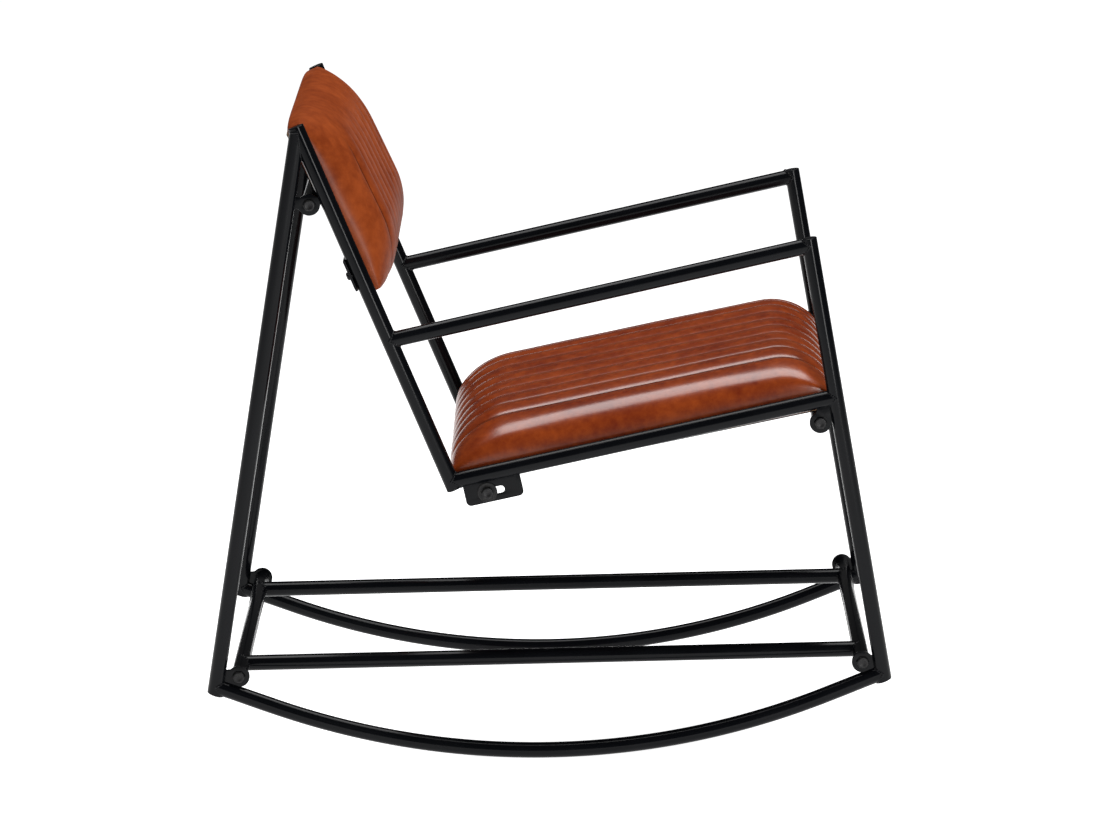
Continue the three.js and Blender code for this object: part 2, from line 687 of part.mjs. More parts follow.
const seatNormal = leftOf(seatRest.direction);
const bars = [
  { name: 'top', bolt: topBolt, normal: leftOf(backRest.direction), drilled: false, slotted: false },
  { name: 'seat_rear', bolt: seatRearBolt, normal: seatNormal, drilled: true, slotted: true },
  { name: 'seat_front', bolt: seatFrontBolt, normal: seatNormal, drilled: true, slotted: false },
  { name: 'low_rear', bolt: lowRearBolt, normal: UP, drilled: false, slotted: false },
  { name: 'low_front', bolt: lowFrontBolt, normal: UP, drilled: false, slotted: false },
];

// Puts a fixing that is drawn on the +Y side of a lug on one side of the chair
function fixing(name, solid, bolt, sign) {
  const mesh = piece(name, solid, blackZinc);
  mesh.position.copy(along(bolt, SIDEWAYS, sign * FRAME_SPACING / 2));
  mesh.rotation.z = sign > 0 ? 0 : Math.PI;
  return mesh;
}

function barPieces({ name, bolt, normal, drilled, slotted }) {
  const holes = drilled ? seatBarHoles(bolt, normal) : [];
  const pieces = [piece(`${name}_crossbar`, without(crossbar(bolt, normal), holes), powderCoat)];
  const boltSolid = frameBolt(slotted ? 2 * CLEARANCE + WASHER_THICKNESS : CLEARANCE);
  for (const [side, sign] of SIDES) {
    pieces.push(fixing(`${side}_${name}_bolt`, boltSolid, bolt, sign));
    if (slotted) {
      pieces.push(fixing(`${side}_${name}_washer`, makeWasher(), bolt, sign));
    }
  }
  return pieces;
}

// Lengthwise rails between the two low crossbars
function makeLowRail() {
  const reach = barRadius + TUBE_DIAMETER;
  const spaces = [lowRearBolt, lowFrontBolt].map((bolt) =>
    crossRod(bolt, -reach, reach, barRadius + CLEARANCE, TUBE_SIDES));
  return openTube(lowRearBolt, lowFrontBolt, spaces);
}

// Screws that hold the strap to the posts
function strapScrews() {
  const screw = screwSolid(STRAP_THICKNESS + 2 * CLEARANCE, SCREW_BITE);
  return SIDES.map(([side, sign]) => {
    const mesh = piece(`${side}_strap_screw`, screw, blackZinc);
    mesh.position.copy(along(strapMiddle, postFront, STRAP_THICKNESS / 2 + CLEARANCE));
    mesh.position.y = sign * FRAME_SPACING / 2;
    mesh.rotation.y = Math.atan2(postFront.x, postFront.z);
    return mesh;
  });
}

const sideSolids = {
  post: makePost(),
  back_leg: makeBackLeg(),
  front_leg: makeFrontLeg(),
  arm: openTube(armRear, armFront, [postSpace, frontLegSpace]),
  seat_rail: openTube(railRear, railFront, [postSpace, frontLegSpace]),
  rocker: makeRocker(),
  top_lug: makeTopLug(),
  slotted_bracket: makeSlottedBracket(),
  seat_front_lug: makeCornerLug(seatFrontBolt, railFront, [railSpace, frontLegSpace]),
  low_rear_lug: makeCornerLug(lowRearBolt, rearCorner, [backLegSpace, rockerSpace]),
  low_front_lug: makeCornerLug(lowFrontBolt, frontCorner, [frontLegSpace, rockerSpace]),
};

function sideFrame(side, sign) {
  const frame = new THREE.Group();
  for (const [name, solid] of Object.entries(sideSolids)) {
    frame.add(piece(`${side}_${name}`, solid, powderCoat));
  }
  frame.position.y = sign * FRAME_SPACING / 2;
  return frame;
}

const structure = new THREE.Group();
structure.add(makeSeat(), makeBack(), piece('back_strap', makeStrap(), powderCoat), ...strapScrews());
structure.add(...bars.flatMap(barPieces));
const lowRail = makeLowRail();
for (const [side, sign] of SIDES) {
  structure.add(sideFrame(side, sign));
  const rail = piece(`${side}_low_rail`, lowRail, powderCoat);
  rail.position.y = sign * (FRAME_SPACING / 2 - LOW_RAIL_INSET);
  structure.add(rail);
}

const chair = new THREE.Group();
chair.add(structure);
chair.updateMatrixWorld(true);
const bounds = new THREE.Box3().setFromObject(chair, true);
structure.position.x = -(bounds.min.x + bounds.max.x) / 2;

export default chair;
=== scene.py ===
"""Rocking chair: welded side frames of black steel tube, bolted crossbars, channelled leather pads.

Metres, +X to the front, +Y to the sitter's left, +Z up. The origin is on the floor.
"""
import json
import logging
import math
from dataclasses import dataclass, field
from enum import Enum
from functools import cached_property
from typing import Any, Sequence

import bmesh
import bpy
from mathutils import Matrix, Vector, noise

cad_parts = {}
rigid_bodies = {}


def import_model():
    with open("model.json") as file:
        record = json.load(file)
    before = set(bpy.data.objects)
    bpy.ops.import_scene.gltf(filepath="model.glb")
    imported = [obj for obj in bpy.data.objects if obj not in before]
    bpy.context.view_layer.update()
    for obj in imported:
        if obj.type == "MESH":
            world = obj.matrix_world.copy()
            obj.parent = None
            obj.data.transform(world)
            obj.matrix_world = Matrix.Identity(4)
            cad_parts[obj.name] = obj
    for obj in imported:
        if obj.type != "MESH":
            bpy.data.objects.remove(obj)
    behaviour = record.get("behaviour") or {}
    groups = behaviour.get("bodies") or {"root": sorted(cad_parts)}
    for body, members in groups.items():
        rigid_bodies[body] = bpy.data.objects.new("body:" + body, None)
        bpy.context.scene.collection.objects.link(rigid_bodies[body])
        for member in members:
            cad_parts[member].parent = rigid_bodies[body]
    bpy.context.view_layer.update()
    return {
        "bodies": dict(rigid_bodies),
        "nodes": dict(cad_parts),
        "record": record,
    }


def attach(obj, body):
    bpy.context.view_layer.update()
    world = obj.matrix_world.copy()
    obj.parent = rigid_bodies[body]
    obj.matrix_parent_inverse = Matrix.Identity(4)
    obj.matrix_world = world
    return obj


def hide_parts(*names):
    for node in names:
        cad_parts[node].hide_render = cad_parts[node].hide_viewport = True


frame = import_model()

LOG = logging.getLogger("rocking_chair")
BODY = next(iter(frame["bodies"]))
SIDEWAYS = Vector((0, 1, 0))
UP = Vector((0, 0, 1))
FORWARD = Vector((1, 0, 0))
MM = 0.001
TINY = 1e-9


class Side(Enum):
    """The two sides of the chair, as its sitter names them, with the sign of their Y."""

    RIGHT = -1
    LEFT = 1

    @property
    def word(self) -> str:
        """The side's name, as it stands in the names of pieces."""
        return self.name.lower()


# Directions and lines in the side plane


def side_point(x: float, z: float) -> Vector:
    """A point of the side plane."""
    return Vector((x, 0, z))


def leaning(degrees: float) -> Vector:
    """The upward direction that leans forward by an angle."""
    return side_point(math.sin(math.radians(degrees)), math.cos(math.radians(degrees)))


def right_of(direction: Vector) -> Vector:
    """The direction to the right of one that points up, seen from the sitter's right."""
    return side_point(direction.z, -direction.x)


def left_of(direction: Vector) -> Vector:
    """The direction to the left of one that points up, seen from the sitter's right."""
    return side_point(-direction.z, direction.x)


def at_height(start: Vector, direction: Vector, height: float) -> Vector:
    """The point of a line at a height."""
    return start + direction * ((height - start.z) / direction.z)


def crossing(start: Vector, direction: Vector, other: Vector, other_direction: Vector) -> Vector:
    """The point where two lines of the side plane cross.

    Args:
        start: A point of the first line.
        direction: The first line's direction.
        other: A point of the second line.
        other_direction: The second line's direction.

    Returns:
        The crossing point.
    """
    normal = right_of(other_direction)
    return start + direction * ((other - start).dot(normal) / direction.dot(normal))


def line_on_circle(start: Vector, direction: Vector, centre: Vector, radius: float) -> Vector:
    """The lower point where a line of the side plane meets a circle.

    Args:
        start: A point of the line.
        direction: The line's direction, of unit length.
        centre: The circle's centre.
        radius: The circle's radius.

    Returns:
        The lower one of the two meeting points.
    """
    foot = start + direction * (centre - start).dot(direction)
    half = math.sqrt(radius * radius - (foot - centre).length_squared)
    return foot - direction * math.copysign(half, direction.z)


@dataclass(frozen=True)
class Axis:
    """The straight middle line of a tube."""

    start: Vector
    end: Vector

    @property
    def direction(self) -> Vector:
        """Unit direction from start to end."""
        return (self.end - self.start).normalized()

    @property
    def middle(self) -> Vector:
        """The point half-way."""
        return (self.start + self.end) / 2

    def shifted(self, y: float) -> "Axis":
        """The same axis in another plane along Y."""
        return Axis(self.start + SIDEWAYS * y, self.end + SIDEWAYS * y)


@dataclass(frozen=True)
class FramePlan:
    """The steel frame's driving sizes, and the tube axes and bolt axes that follow from them.

    Reaches are horizontal distances from the lowest point of the rockers to a corner on the tube
    axes, heights are over the floor, and leans are in degrees from the vertical.
    """

    origin_x: float
    spacing: float = 0.5
    tube: float = 0.019
    clearance: float = 0.0003
    rocker_radius: float = 0.9287
    rocker_facets: int = 21
    rear_corner_reach: float = 0.3815
    front_corner_reach: float = 0.42
    apex_reach: float = 0.277
    apex_height: float = 0.764
    post_lean: float = 23.0
    front_leg_lean: float = 10.1
    arm_rear_height: float = 0.513
    arm_front_height: float = 0.628
    seat_rear_height: float = 0.342
    seat_front_height: float = 0.445
    post_past_apex: float = 0.006
    post_past_rail: float = 0.011
    leg_past_arm: float = 0.009
    foot_past_rocker: float = 0.0035
    bar: float = 0.019
    lug_thickness: float = 0.004
    top_bar_to_post: float = 0.0036
    top_bar_to_leg: float = 0.007
    seat_rear_bar_to_rail: float = 0.0035
    seat_rear_bar_reach: float = 0.0395
    seat_front_bar_to_rail: float = 0.0073
    seat_front_bar_to_leg: float = 0.0042
    low_bar_to_rocker: float = 0.0008
    low_rear_bar_to_leg: float = 0.0065
    low_front_bar_to_leg: float = 0.0029
    low_rail_inset: float = 0.063
    strap_width: float = 0.04
    strap_thickness: float = 0.003
    strap_end_inset: float = 0.002
    strap_below_top_bar: float = 0.097

    @property
    def radius(self) -> float:
        """Radius of the frame tube."""
        return self.tube / 2

    @property
    def bar_radius(self) -> float:
        """Radius of the crossbars."""
        return self.bar / 2

    @cached_property
    def rocker_centre(self) -> Vector:
        """Centre of the rocker's arc, with its lowest flat on the floor."""
        half = math.asin(self.front_corner_reach / self.rocker_radius) / self.rocker_facets
        return side_point(self.origin_x, (self.rocker_radius + self.radius) * math.cos(half))

    def on_rocker(self, reach: float) -> Vector:
        """The point of the rocker's axis at a reach from its lowest point."""
        drop = math.sqrt(self.rocker_radius ** 2 - reach ** 2)
        return self.rocker_centre + side_point(reach, -drop)

    @cached_property
    def rear_corner(self) -> Vector:
        """Where back leg and rocker meet."""
        return self.on_rocker(-self.rear_corner_reach)

    @cached_property
    def front_corner(self) -> Vector:
        """Where front leg and rocker meet."""
        return self.on_rocker(self.front_corner_reach)

    @cached_property
    def apex(self) -> Vector:
        """Where back leg and post meet."""
        return side_point(self.origin_x - self.apex_reach, self.apex_height)

    @cached_property
    def post_up(self) -> Vector:
        """Direction up the post."""
        return leaning(-self.post_lean)

    @cached_property
    def post_front(self) -> Vector:
        """Direction to the front, square to the post."""
        return right_of(self.post_up)

    @cached_property
    def front_leg_up(self) -> Vector:
        """Direction up the front leg."""
        return leaning(-self.front_leg_lean)

    @cached_property
    def back_leg_up(self) -> Vector:
        """Direction up the back leg."""
        return (self.apex - self.rear_corner).normalized()

    @cached_property
    def post(self) -> Axis:
        """The post, from its foot below the seat rail to its top."""
        rail_rear = at_height(self.apex, self.post_up, self.seat_rear_height)
        return Axis(rail_rear - self.post_up * self.post_past_rail,
                    self.apex + self.post_up * self.post_past_apex)

    @cached_property
    def back_leg(self) -> Axis:
        """The back leg, between the axes that it joins."""
        return Axis(self.rear_corner, self.apex)

    @cached_property
    def arm(self) -> Axis:
        """The arm, between the axes that it joins."""
        return Axis(at_height(self.apex, self.post_up, self.arm_rear_height),
                    at_height(self.front_corner, self.front_leg_up, self.arm_front_height))

    @cached_property
    def front_leg(self) -> Axis:
        """The front leg, from the rocker's axis to its top."""
        return Axis(self.front_corner, self.arm.end + self.front_leg_up * self.leg_past_arm)

    @cached_property
    def seat_rail(self) -> Axis:
        """The seat rail, between the axes that it joins."""
        return Axis(at_height(self.apex, self.post_up, self.seat_rear_height),
                    at_height(self.front_corner, self.front_leg_up, self.seat_front_height))

    def set_off(self, daylight: float) -> float:
        """From a tube's axis to a crossbar's, with daylight between them."""
        return self.radius + self.bar_radius + daylight

    @cached_property
    def top_bolt(self) -> Vector:
        """Axis of the top crossbar."""
        return crossing(
            self.apex + left_of(self.post_up) * self.set_off(self.top_bar_to_post), self.post_up,
            self.apex + right_of(self.back_leg_up) * self.set_off(self.top_bar_to_leg), self.back_leg_up)

    @cached_property
    def seat_rear_bolt(self) -> Vector:
        """Axis of the rear seat crossbar."""
        forward = self.seat_rail.direction
        return (self.seat_rail.start + forward * self.seat_rear_bar_reach
                + right_of(forward) * self.set_off(self.seat_rear_bar_to_rail))

    @cached_property
    def seat_front_bolt(self) -> Vector:
        """Axis of the front seat crossbar."""
        forward = self.seat_rail.direction
        corner = self.seat_rail.end
        return crossing(
            corner + right_of(forward) * self.set_off(self.seat_front_bar_to_rail), forward,
            corner + left_of(self.front_leg_up) * self.set_off(self.seat_front_bar_to_leg),
            self.front_leg_up)

    def low_bolt(self, corner: Vector, inward: Vector, leg_up: Vector, daylight: float) -> Vector:
        """Axis of a low crossbar, beside a leg and over the rocker."""
        circle = self.rocker_radius - self.set_off(self.low_bar_to_rocker)
        return line_on_circle(corner + inward * self.set_off(daylight), leg_up, self.rocker_centre, circle)

    @cached_property
    def low_rear_bolt(self) -> Vector:
        """Axis of the low rear crossbar."""
        return self.low_bolt(self.rear_corner, right_of(self.back_leg_up), self.back_leg_up,
                             self.low_rear_bar_to_leg)

    @cached_property
    def low_front_bolt(self) -> Vector:
        """Axis of the low front crossbar."""
        return self.low_bolt(self.front_corner, left_of(self.front_leg_up), self.front_leg_up,
                             self.low_front_bar_to_leg)

    @cached_property
    def strap_middle(self) -> Vector:
        """Middle of the strap across the rear sides of the posts."""
        shift = (self.top_bolt - self.apex).dot(-self.post_up) + self.strap_below_top_bar
        depth = self.radius + self.clearance + self.strap_thickness / 2
        return self.apex - self.post_up * shift - self.post_front * depth

    @cached_property
    def seat_rest(self) -> Matrix:
        """Place of the seat: X along its underside to the front, Z out of it."""
        return self.rest(self.seat_rear_bolt, (self.seat_front_bolt - self.seat_rear_bolt).normalized())

    @cached_property
    def back_rest(self) -> Matrix:
        """Place of the backrest: X down along its rear side, Z out of it to the front."""
        edge = (self.strap_middle + self.post_up * (self.strap_width / 2)
                + self.post_front * (self.strap_thickness / 2 + self.clearance))
        toward = edge - self.top_bolt
        lean = math.asin((self.bar_radius + self.clearance) / toward.length)
        return self.rest(self.top_bolt, Matrix.Rotation(lean, 3, SIDEWAYS) @ toward.normalized())

    def rest(self, bolt: Vector, direction: Vector) -> Matrix:
        """A place on a crossbar, for a pad that runs along a direction.

        Args:
            bolt: The crossbar's axis.
            direction: The pad's direction, of unit length.

        Returns:
            The pad's place, with its origin on the crossbar's wall.
        """
        normal = left_of(direction)
        origin = bolt + normal * (self.bar_radius + self.clearance)
        turn = Matrix((direction, SIDEWAYS, normal)).transposed().to_4x4()
        return Matrix.Translation(origin) @ turn


# Surfaces


@dataclass
class Surface:
    """The points and faces of a mesh while it is made."""

    points: list[Vector] = field(default_factory=list)
    faces: list[tuple[int, ...]] = field(default_factory=list)

    def loft(self, rings: Sequence[Sequence[Vector]], cyclic: bool = False,
             start_cap: Vector | None = None, end_cap: Vector | None = None) -> "Surface":
        """Adds the wall through a row of closed rings.

        Args:
            rings: Rings with as many points each.
            cyclic: Whether the last ring joins the first.
            start_cap: Middle of a cap over the first ring, if it has one.
            end_cap: Middle of a cap over the last ring, if it has one.

        Returns:
            This surface.
        """
        first = len(self.points)
        count = len(rings[0])
        for ring in rings:
            self.points.extend(ring)
        rows = len(rings) if cyclic else len(rings) - 1
        for row in range(rows):
            low = first + row * count
            high = first + (row + 1) % len(rings) * count
            for k in range(count):
                after = (k + 1) % count
                self.faces.append((low + k, low + after, high + after, high + k))
        for middle, row in ((start_cap, 0), (end_cap, len(rings) - 1)):
            if middle is not None:
                self.points.append(middle)
                base = first + row * count
                self.faces.extend((base + k, base + (k + 1) % count, len(self.points) - 1)
                                  for k in range(count))
        return self

    def join(self, other: "Surface") -> "Surface":
        """Adds another surface to this one.

        Args:
            other: The surface to add.

        Returns:
            This surface.
        """
        first = len(self.points)
        self.points.extend(other.points)
        self.faces.extend(tuple(first + k for k in face) for face in other.faces)
        return self

    def placed(self, matrix: Matrix) -> "Surface":
        """This surface in another place."""
        return Surface([matrix @ point for point in self.points], list(self.faces))

    def mesh(self, name: str) -> bpy.types.Mesh:
        """A bare mesh of the surface.

        Args:
            name: The mesh's name.

        Returns:
            The mesh.
        """
        mesh = bpy.data.meshes.new(name)
        mesh.from_pydata(self.points, [], self.faces)
        return mesh


def circle(middle: Vector, radius: float, first: Vector, second: Vector, sides: int) -> list[Vector]:
    """Points on a circle.

    Args:
        middle: The circle's middle.
        radius: The circle's radius.
        first: Direction of the first point.
        second: Direction of the point a quarter turn on.
        sides: Number of points.

    Returns:
        The points in order.
    """
    turns = (2 * math.pi * k / sides for k in range(sides))
    return [middle + (first * math.cos(turn) + second * math.sin(turn)) * radius for turn in turns]


@dataclass(frozen=True)
class Cope:
    """A tube end shaped to sit on the round wall of another tube."""

    axis: Axis
    radius: float
    rim: float = 0.0

    def reach(self, point: Vector, direction: Vector) -> Vector:
        """Where a line meets the other tube.

        Args:
            point: A point of the line, outside the other tube.
            direction: The line's direction, towards the other tube.

        Returns:
            The first point on the other tube's wall.
        """
        along = self.axis.direction
        offset = point - self.axis.start
        across = direction - along * direction.dot(along)
        away = offset - along * offset.dot(along)
        lead = across.dot(across)
        half = across.dot(away)
        rest = away.dot(away) - self.radius ** 2
        return point + direction * ((-half - math.sqrt(max(0.0, half * half - lead * rest))) / lead)

    def outward(self, point: Vector) -> Vector:
        """Direction out of the other tube's wall at a point."""
        offset = point - self.axis.start
        return (offset - self.axis.direction * offset.dot(self.axis.direction)).normalized()


@dataclass(frozen=True)
class Cut:
    """A tube end cut flat and closed, with its rim rounded."""

    point: Vector
    normal: Vector
    rim: float = 0.0009

    def reach(self, point: Vector, direction: Vector) -> Vector:
        """Where a line meets the flat of the cut."""
        return point + direction * ((self.point - point).dot(self.normal) / direction.dot(self.normal))


RIM_STEPS = 4
TUBE_SIDES = 72


@dataclass(frozen=True)
class Tube:
    """A straight round tube with its two ends."""

    axis: Axis
    radius: float
    first: Cope | Cut
    last: Cope | Cut
    across: Vector = SIDEWAYS

    def ring(self, end: Cope | Cut, outward: Vector, shrink: float = 0.0, back: float = 0.0) -> list[Vector]:
        """The wall's points where it reaches an end.

        Args:
            end: The end.
            outward: Direction along the tube to that end.
            shrink: How much smaller the ring is than the tube.
            back: How far the ring lies before the end.

        Returns:
            The ring's points.
        """
        side = self.axis.direction.cross(self.across)
        wall = circle(self.axis.middle, self.radius - shrink, self.across, side, TUBE_SIDES)
        return [end.reach(point, outward) - outward * back for point in wall]

    def rim(self, end: Cope | Cut, outward: Vector) -> list[list[Vector]]:
        """The rings that round off an end, from its edge inward along the tube.

        Args:
            end: The end.
            outward: Direction along the tube to that end.

        Returns:
            The rings, or a single one where the end has no rim.
        """
        if end.rim == 0:
            return [self.ring(end, outward)]
        turns = [math.pi / 2 * (1 - k / RIM_STEPS) for k in range(RIM_STEPS + 1)]
        return [self.ring(end, outward, end.rim * (1 - math.cos(turn)), end.rim * (1 - math.sin(turn)))
                for turn in turns]

    def surface(self) -> Surface:
        """The tube with both its ends.

        Returns:
            The closed surface.
        """
        direction = self.axis.direction
        middle = self.axis.middle
        rings = self.rim(self.first, -direction) + self.rim(self.last, direction)[::-1]
        return Surface().loft(rings, start_cap=self.first.reach(middle, -direction),
                              end_cap=self.last.reach(middle, direction))


@dataclass(frozen=True)
class WeldBead:
    """A run of weld metal, with the ripples that it froze in."""

    radius: float = 0.0021
    ripple: float = 0.0026
    ripple_depth: float = 0.00022
    sunk_share: float = 0.6
    uneven_share: float = 0.12
    tip_share: float = 0.05
    points_per_ripple: int = 4
    sides: int = 10

    def surface(self, path: Sequence[Vector], outward: Sequence[Vector], closed: bool) -> Surface:
        """The bead along a path.

        Args:
            path: Points of the corner that the bead fills.
            outward: The direction out of the corner at each point.
            closed: Whether the bead runs all the way round.

        Returns:
            The bead's closed surface.
        """
        stops = list(path) + ([path[0]] if closed else [])
        normals = list(outward) + ([outward[0]] if closed else [])
        lengths = [0.0]
        for a, b in zip(stops, stops[1:]):
            lengths.append(lengths[-1] + (b - a).length)
        ripples = max(2, round(lengths[-1] / self.ripple))
        count = ripples * self.points_per_ripple
        rings = []
        step = 0
        last = count if closed else count + 1
        for k in range(last):
            place = lengths[-1] * k / count
            while step < len(stops) - 2 and lengths[step + 1] < place:
                step += 1
            share = (place - lengths[step]) / max(lengths[step + 1] - lengths[step], TINY)
            normal = normals[step].lerp(normals[step + 1], share).normalized()
            tangent = (stops[step + 1] - stops[step]).normalized()
            spot = stops[step].lerp(stops[step + 1], share)
            swell = self.ripple_depth * math.cos(2 * math.pi * k / self.points_per_ripple)
            radius = self.radius * (1 + self.uneven_share * noise.noise(spot / self.ripple)) + swell
            if not closed:
                from_tip = min(k, count - k) / self.points_per_ripple
                radius *= math.sqrt(max(self.tip_share, min(1.0, from_tip)))
            rings.append(circle(spot - normal * self.radius * self.sunk_share, radius,
                                normal, tangent.cross(normal), self.sides))
        if closed:
            return Surface().loft(rings, cyclic=True)
        return Surface().loft(rings, start_cap=stops[0], end_cap=stops[-1])

    def round_end(self, tube: Tube, end: Cope, outward: Vector) -> Surface:
        """The bead round a coped tube end.

        Args:
            tube: The tube.
            end: Its coped end.
            outward: Direction along the tube to that end.

        Returns:
            The bead's closed surface.
        """
        ring = tube.ring(end, outward)
        direction = tube.axis.direction
        away = [point - tube.axis.start for point in ring]
        walls = [(offset - direction * offset.dot(direction)).normalized() for offset in away]
        return self.surface(ring, [wall + end.outward(point) for wall, point in zip(walls, ring)], True)


# Materials


# The mesh attribute that says how deep a point of the leather lies in a seam or fold: it sets where shade is
# painted into the leather's colour and where its wax thins
PAINTED_SHADE_AND_WAX = "valley"


def linear(colour: str) -> tuple[float, float, float, float]:
    """Turns an sRGB hex colour to linear light.

    Args:
        colour: The colour, as # and six hex digits.

    Returns:
        Linear red, green and blue, and an alpha of 1.
    """
    shares = [int(colour[k:k + 2], 16) / 255 for k in (1, 3, 5)]
    parts = [share / 12.92 if share <= 0.04045 else ((share + 0.055) / 1.055) ** 2.4 for share in shares]
    return (*parts, 1.0)


def per_mm(size: float) -> float:
    """The scale of a pattern whose features measure a size in millimetres."""
    return 1 / (size * MM)


def set_inputs(node: bpy.types.Node, inputs: dict[Any, Any]) -> None:
    """Sets a node's inputs to values, or links them from sockets.

    Args:
        node: The node.
        inputs: Values or sockets, by the input's name or number.
    """
    for key, value in inputs.items():
        if isinstance(value, bpy.types.NodeSocket):
            node.id_data.links.new(value, node.inputs[key])
        else:
            node.inputs[key].default_value = value


def add_node(tree: bpy.types.NodeTree, kind: str, inputs: dict[Any, Any] | None = None,
             **settings: Any) -> bpy.types.Node:
    """Adds a shader node with its settings and links.

    Args:
        tree: The material's node tree.
        kind: The node's type, without the words that all shader nodes start with.
        inputs: Values, or sockets to link from, by the input's name or number.
        settings: The node's own settings.

    Returns:
        The new node.
    """
    node = tree.nodes.new(f"ShaderNode{kind}")
    for name, value in settings.items():
        setattr(node, name, value)
    set_inputs(node, inputs or {})
    return node


@dataclass(frozen=True)
class Finish:
    """A surface finish: its material's name, and the record's slot that it stands for."""

    name: str
    slot: str

    def dress(self, tree: bpy.types.NodeTree, shader: bpy.types.Node, place: bpy.types.NodeSocket) -> None:
        """Sets the shader up.

        Args:
            tree: The material's node tree.
            shader: The shader.
            place: The place on the object.
        """
        raise NotImplementedError

    def material(self) -> bpy.types.Material:
        """The finish's material, made when it is first asked for.

        Returns:
            The material.
        """
        material = bpy.data.materials.get(self.name)
        if material is None:
            material = bpy.data.materials.new(self.name)
            material.use_nodes = True
            tree = material.node_tree
            place = add_node(tree, "TexCoord").outputs["Object"]
            self.dress(tree, tree.nodes["Principled BSDF"], place)
        return material


@dataclass(frozen=True)
class PowderCoat(Finish):
    """Black polyester powder, sprayed on and baked.

    It gives crisp reflections that waver a little, because the melted powder levels to a faint
    orange peel.
    """

    name: str = "baked_powder_coat"
    slot: str = "frame_steel"
    colour: str = "#050608"
    worn: str = "#0c0d10"
    roughness: float = 0.15
    gloss: float = 0.12
    peel_mm: float = 4.0
    peel_depth: float = 0.00001
    cloud_mm: float = 60.0

    def dress(self, tree: bpy.types.NodeTree, shader: bpy.types.Node, place: bpy.types.NodeSocket) -> None:
        """Dark coat with an orange peel and faint clouds of haze.

        Args:
            tree: The material's node tree.
            shader: The shader.
            place: The place on the object.
        """
        cloud = add_node(tree, "TexNoise", {"Vector": place, "Scale": per_mm(self.cloud_mm),
                                            "Detail": 3.0})
        colour = add_node(tree, "Mix", {"Factor": cloud.outputs["Fac"], 6: linear(self.colour),
                                        7: linear(self.worn)}, data_type="RGBA")
        haze = add_node(tree, "MapRange", {"Value": cloud.outputs["Fac"], "From Min": 0.3,
                                           "From Max": 0.7, "To Min": self.roughness - 0.04,
                                           "To Max": self.roughness + 0.05})
        peel = add_node(tree, "TexNoise", {"Vector": place, "Scale": per_mm(self.peel_mm),
                                           "Detail": 1.0})
        bump = add_node(tree, "Bump", {"Height": peel.outputs["Fac"], "Distance": self.peel_depth,
                                       "Strength": 1.0})
        set_inputs(shader, {"IOR": 1.5, "Specular IOR Level": self.gloss,
                            "Base Color": colour.outputs[2], "Roughness": haze.outputs["Result"],
                            "Normal": bump.outputs["Normal"]})


@dataclass(frozen=True)
class BlackZinc(Finish):
    """Zinc-plated steel, passivated black.

    It gives a dull dark metal, a little brown, with fine scuffs from the spanner.
    """

    name: str = "black_passivated_zinc"
    slot: str = "black_zinc_steel"
    colour: str = "#1c1c1e"
    bright: str = "#33322f"
    roughness: float = 0.42
    scuff_mm: float = 1.1

    def dress(self, tree: bpy.types.NodeTree, shader: bpy.types.Node, place: bpy.types.NodeSocket) -> None:
        """Dark metal with scuffs that are brighter and smoother.

        Args:
            tree: The material's node tree.
            shader: The shader.
            place: The place on the object.
        """
        scuff = add_node(tree, "TexNoise", {"Vector": place, "Scale": per_mm(self.scuff_mm),
                                            "Detail": 4.0})
        share = add_node(tree, "MapRange", {"Value": scuff.outputs["Fac"], "From Min": 0.45,
                                            "From Max": 0.75})
        colour = add_node(tree, "Mix", {"Factor": share.outputs["Result"], 6: linear(self.colour),
                                        7: linear(self.bright)}, data_type="RGBA")
        rough = add_node(tree, "MapRange", {"Value": scuff.outputs["Fac"],
                                            "To Min": self.roughness + 0.1,
                                            "To Max": self.roughness - 0.1})
        set_inputs(shader, {"Metallic": 0.75, "Base Color": colour.outputs[2],
                            "Roughness": rough.outputs["Result"]})


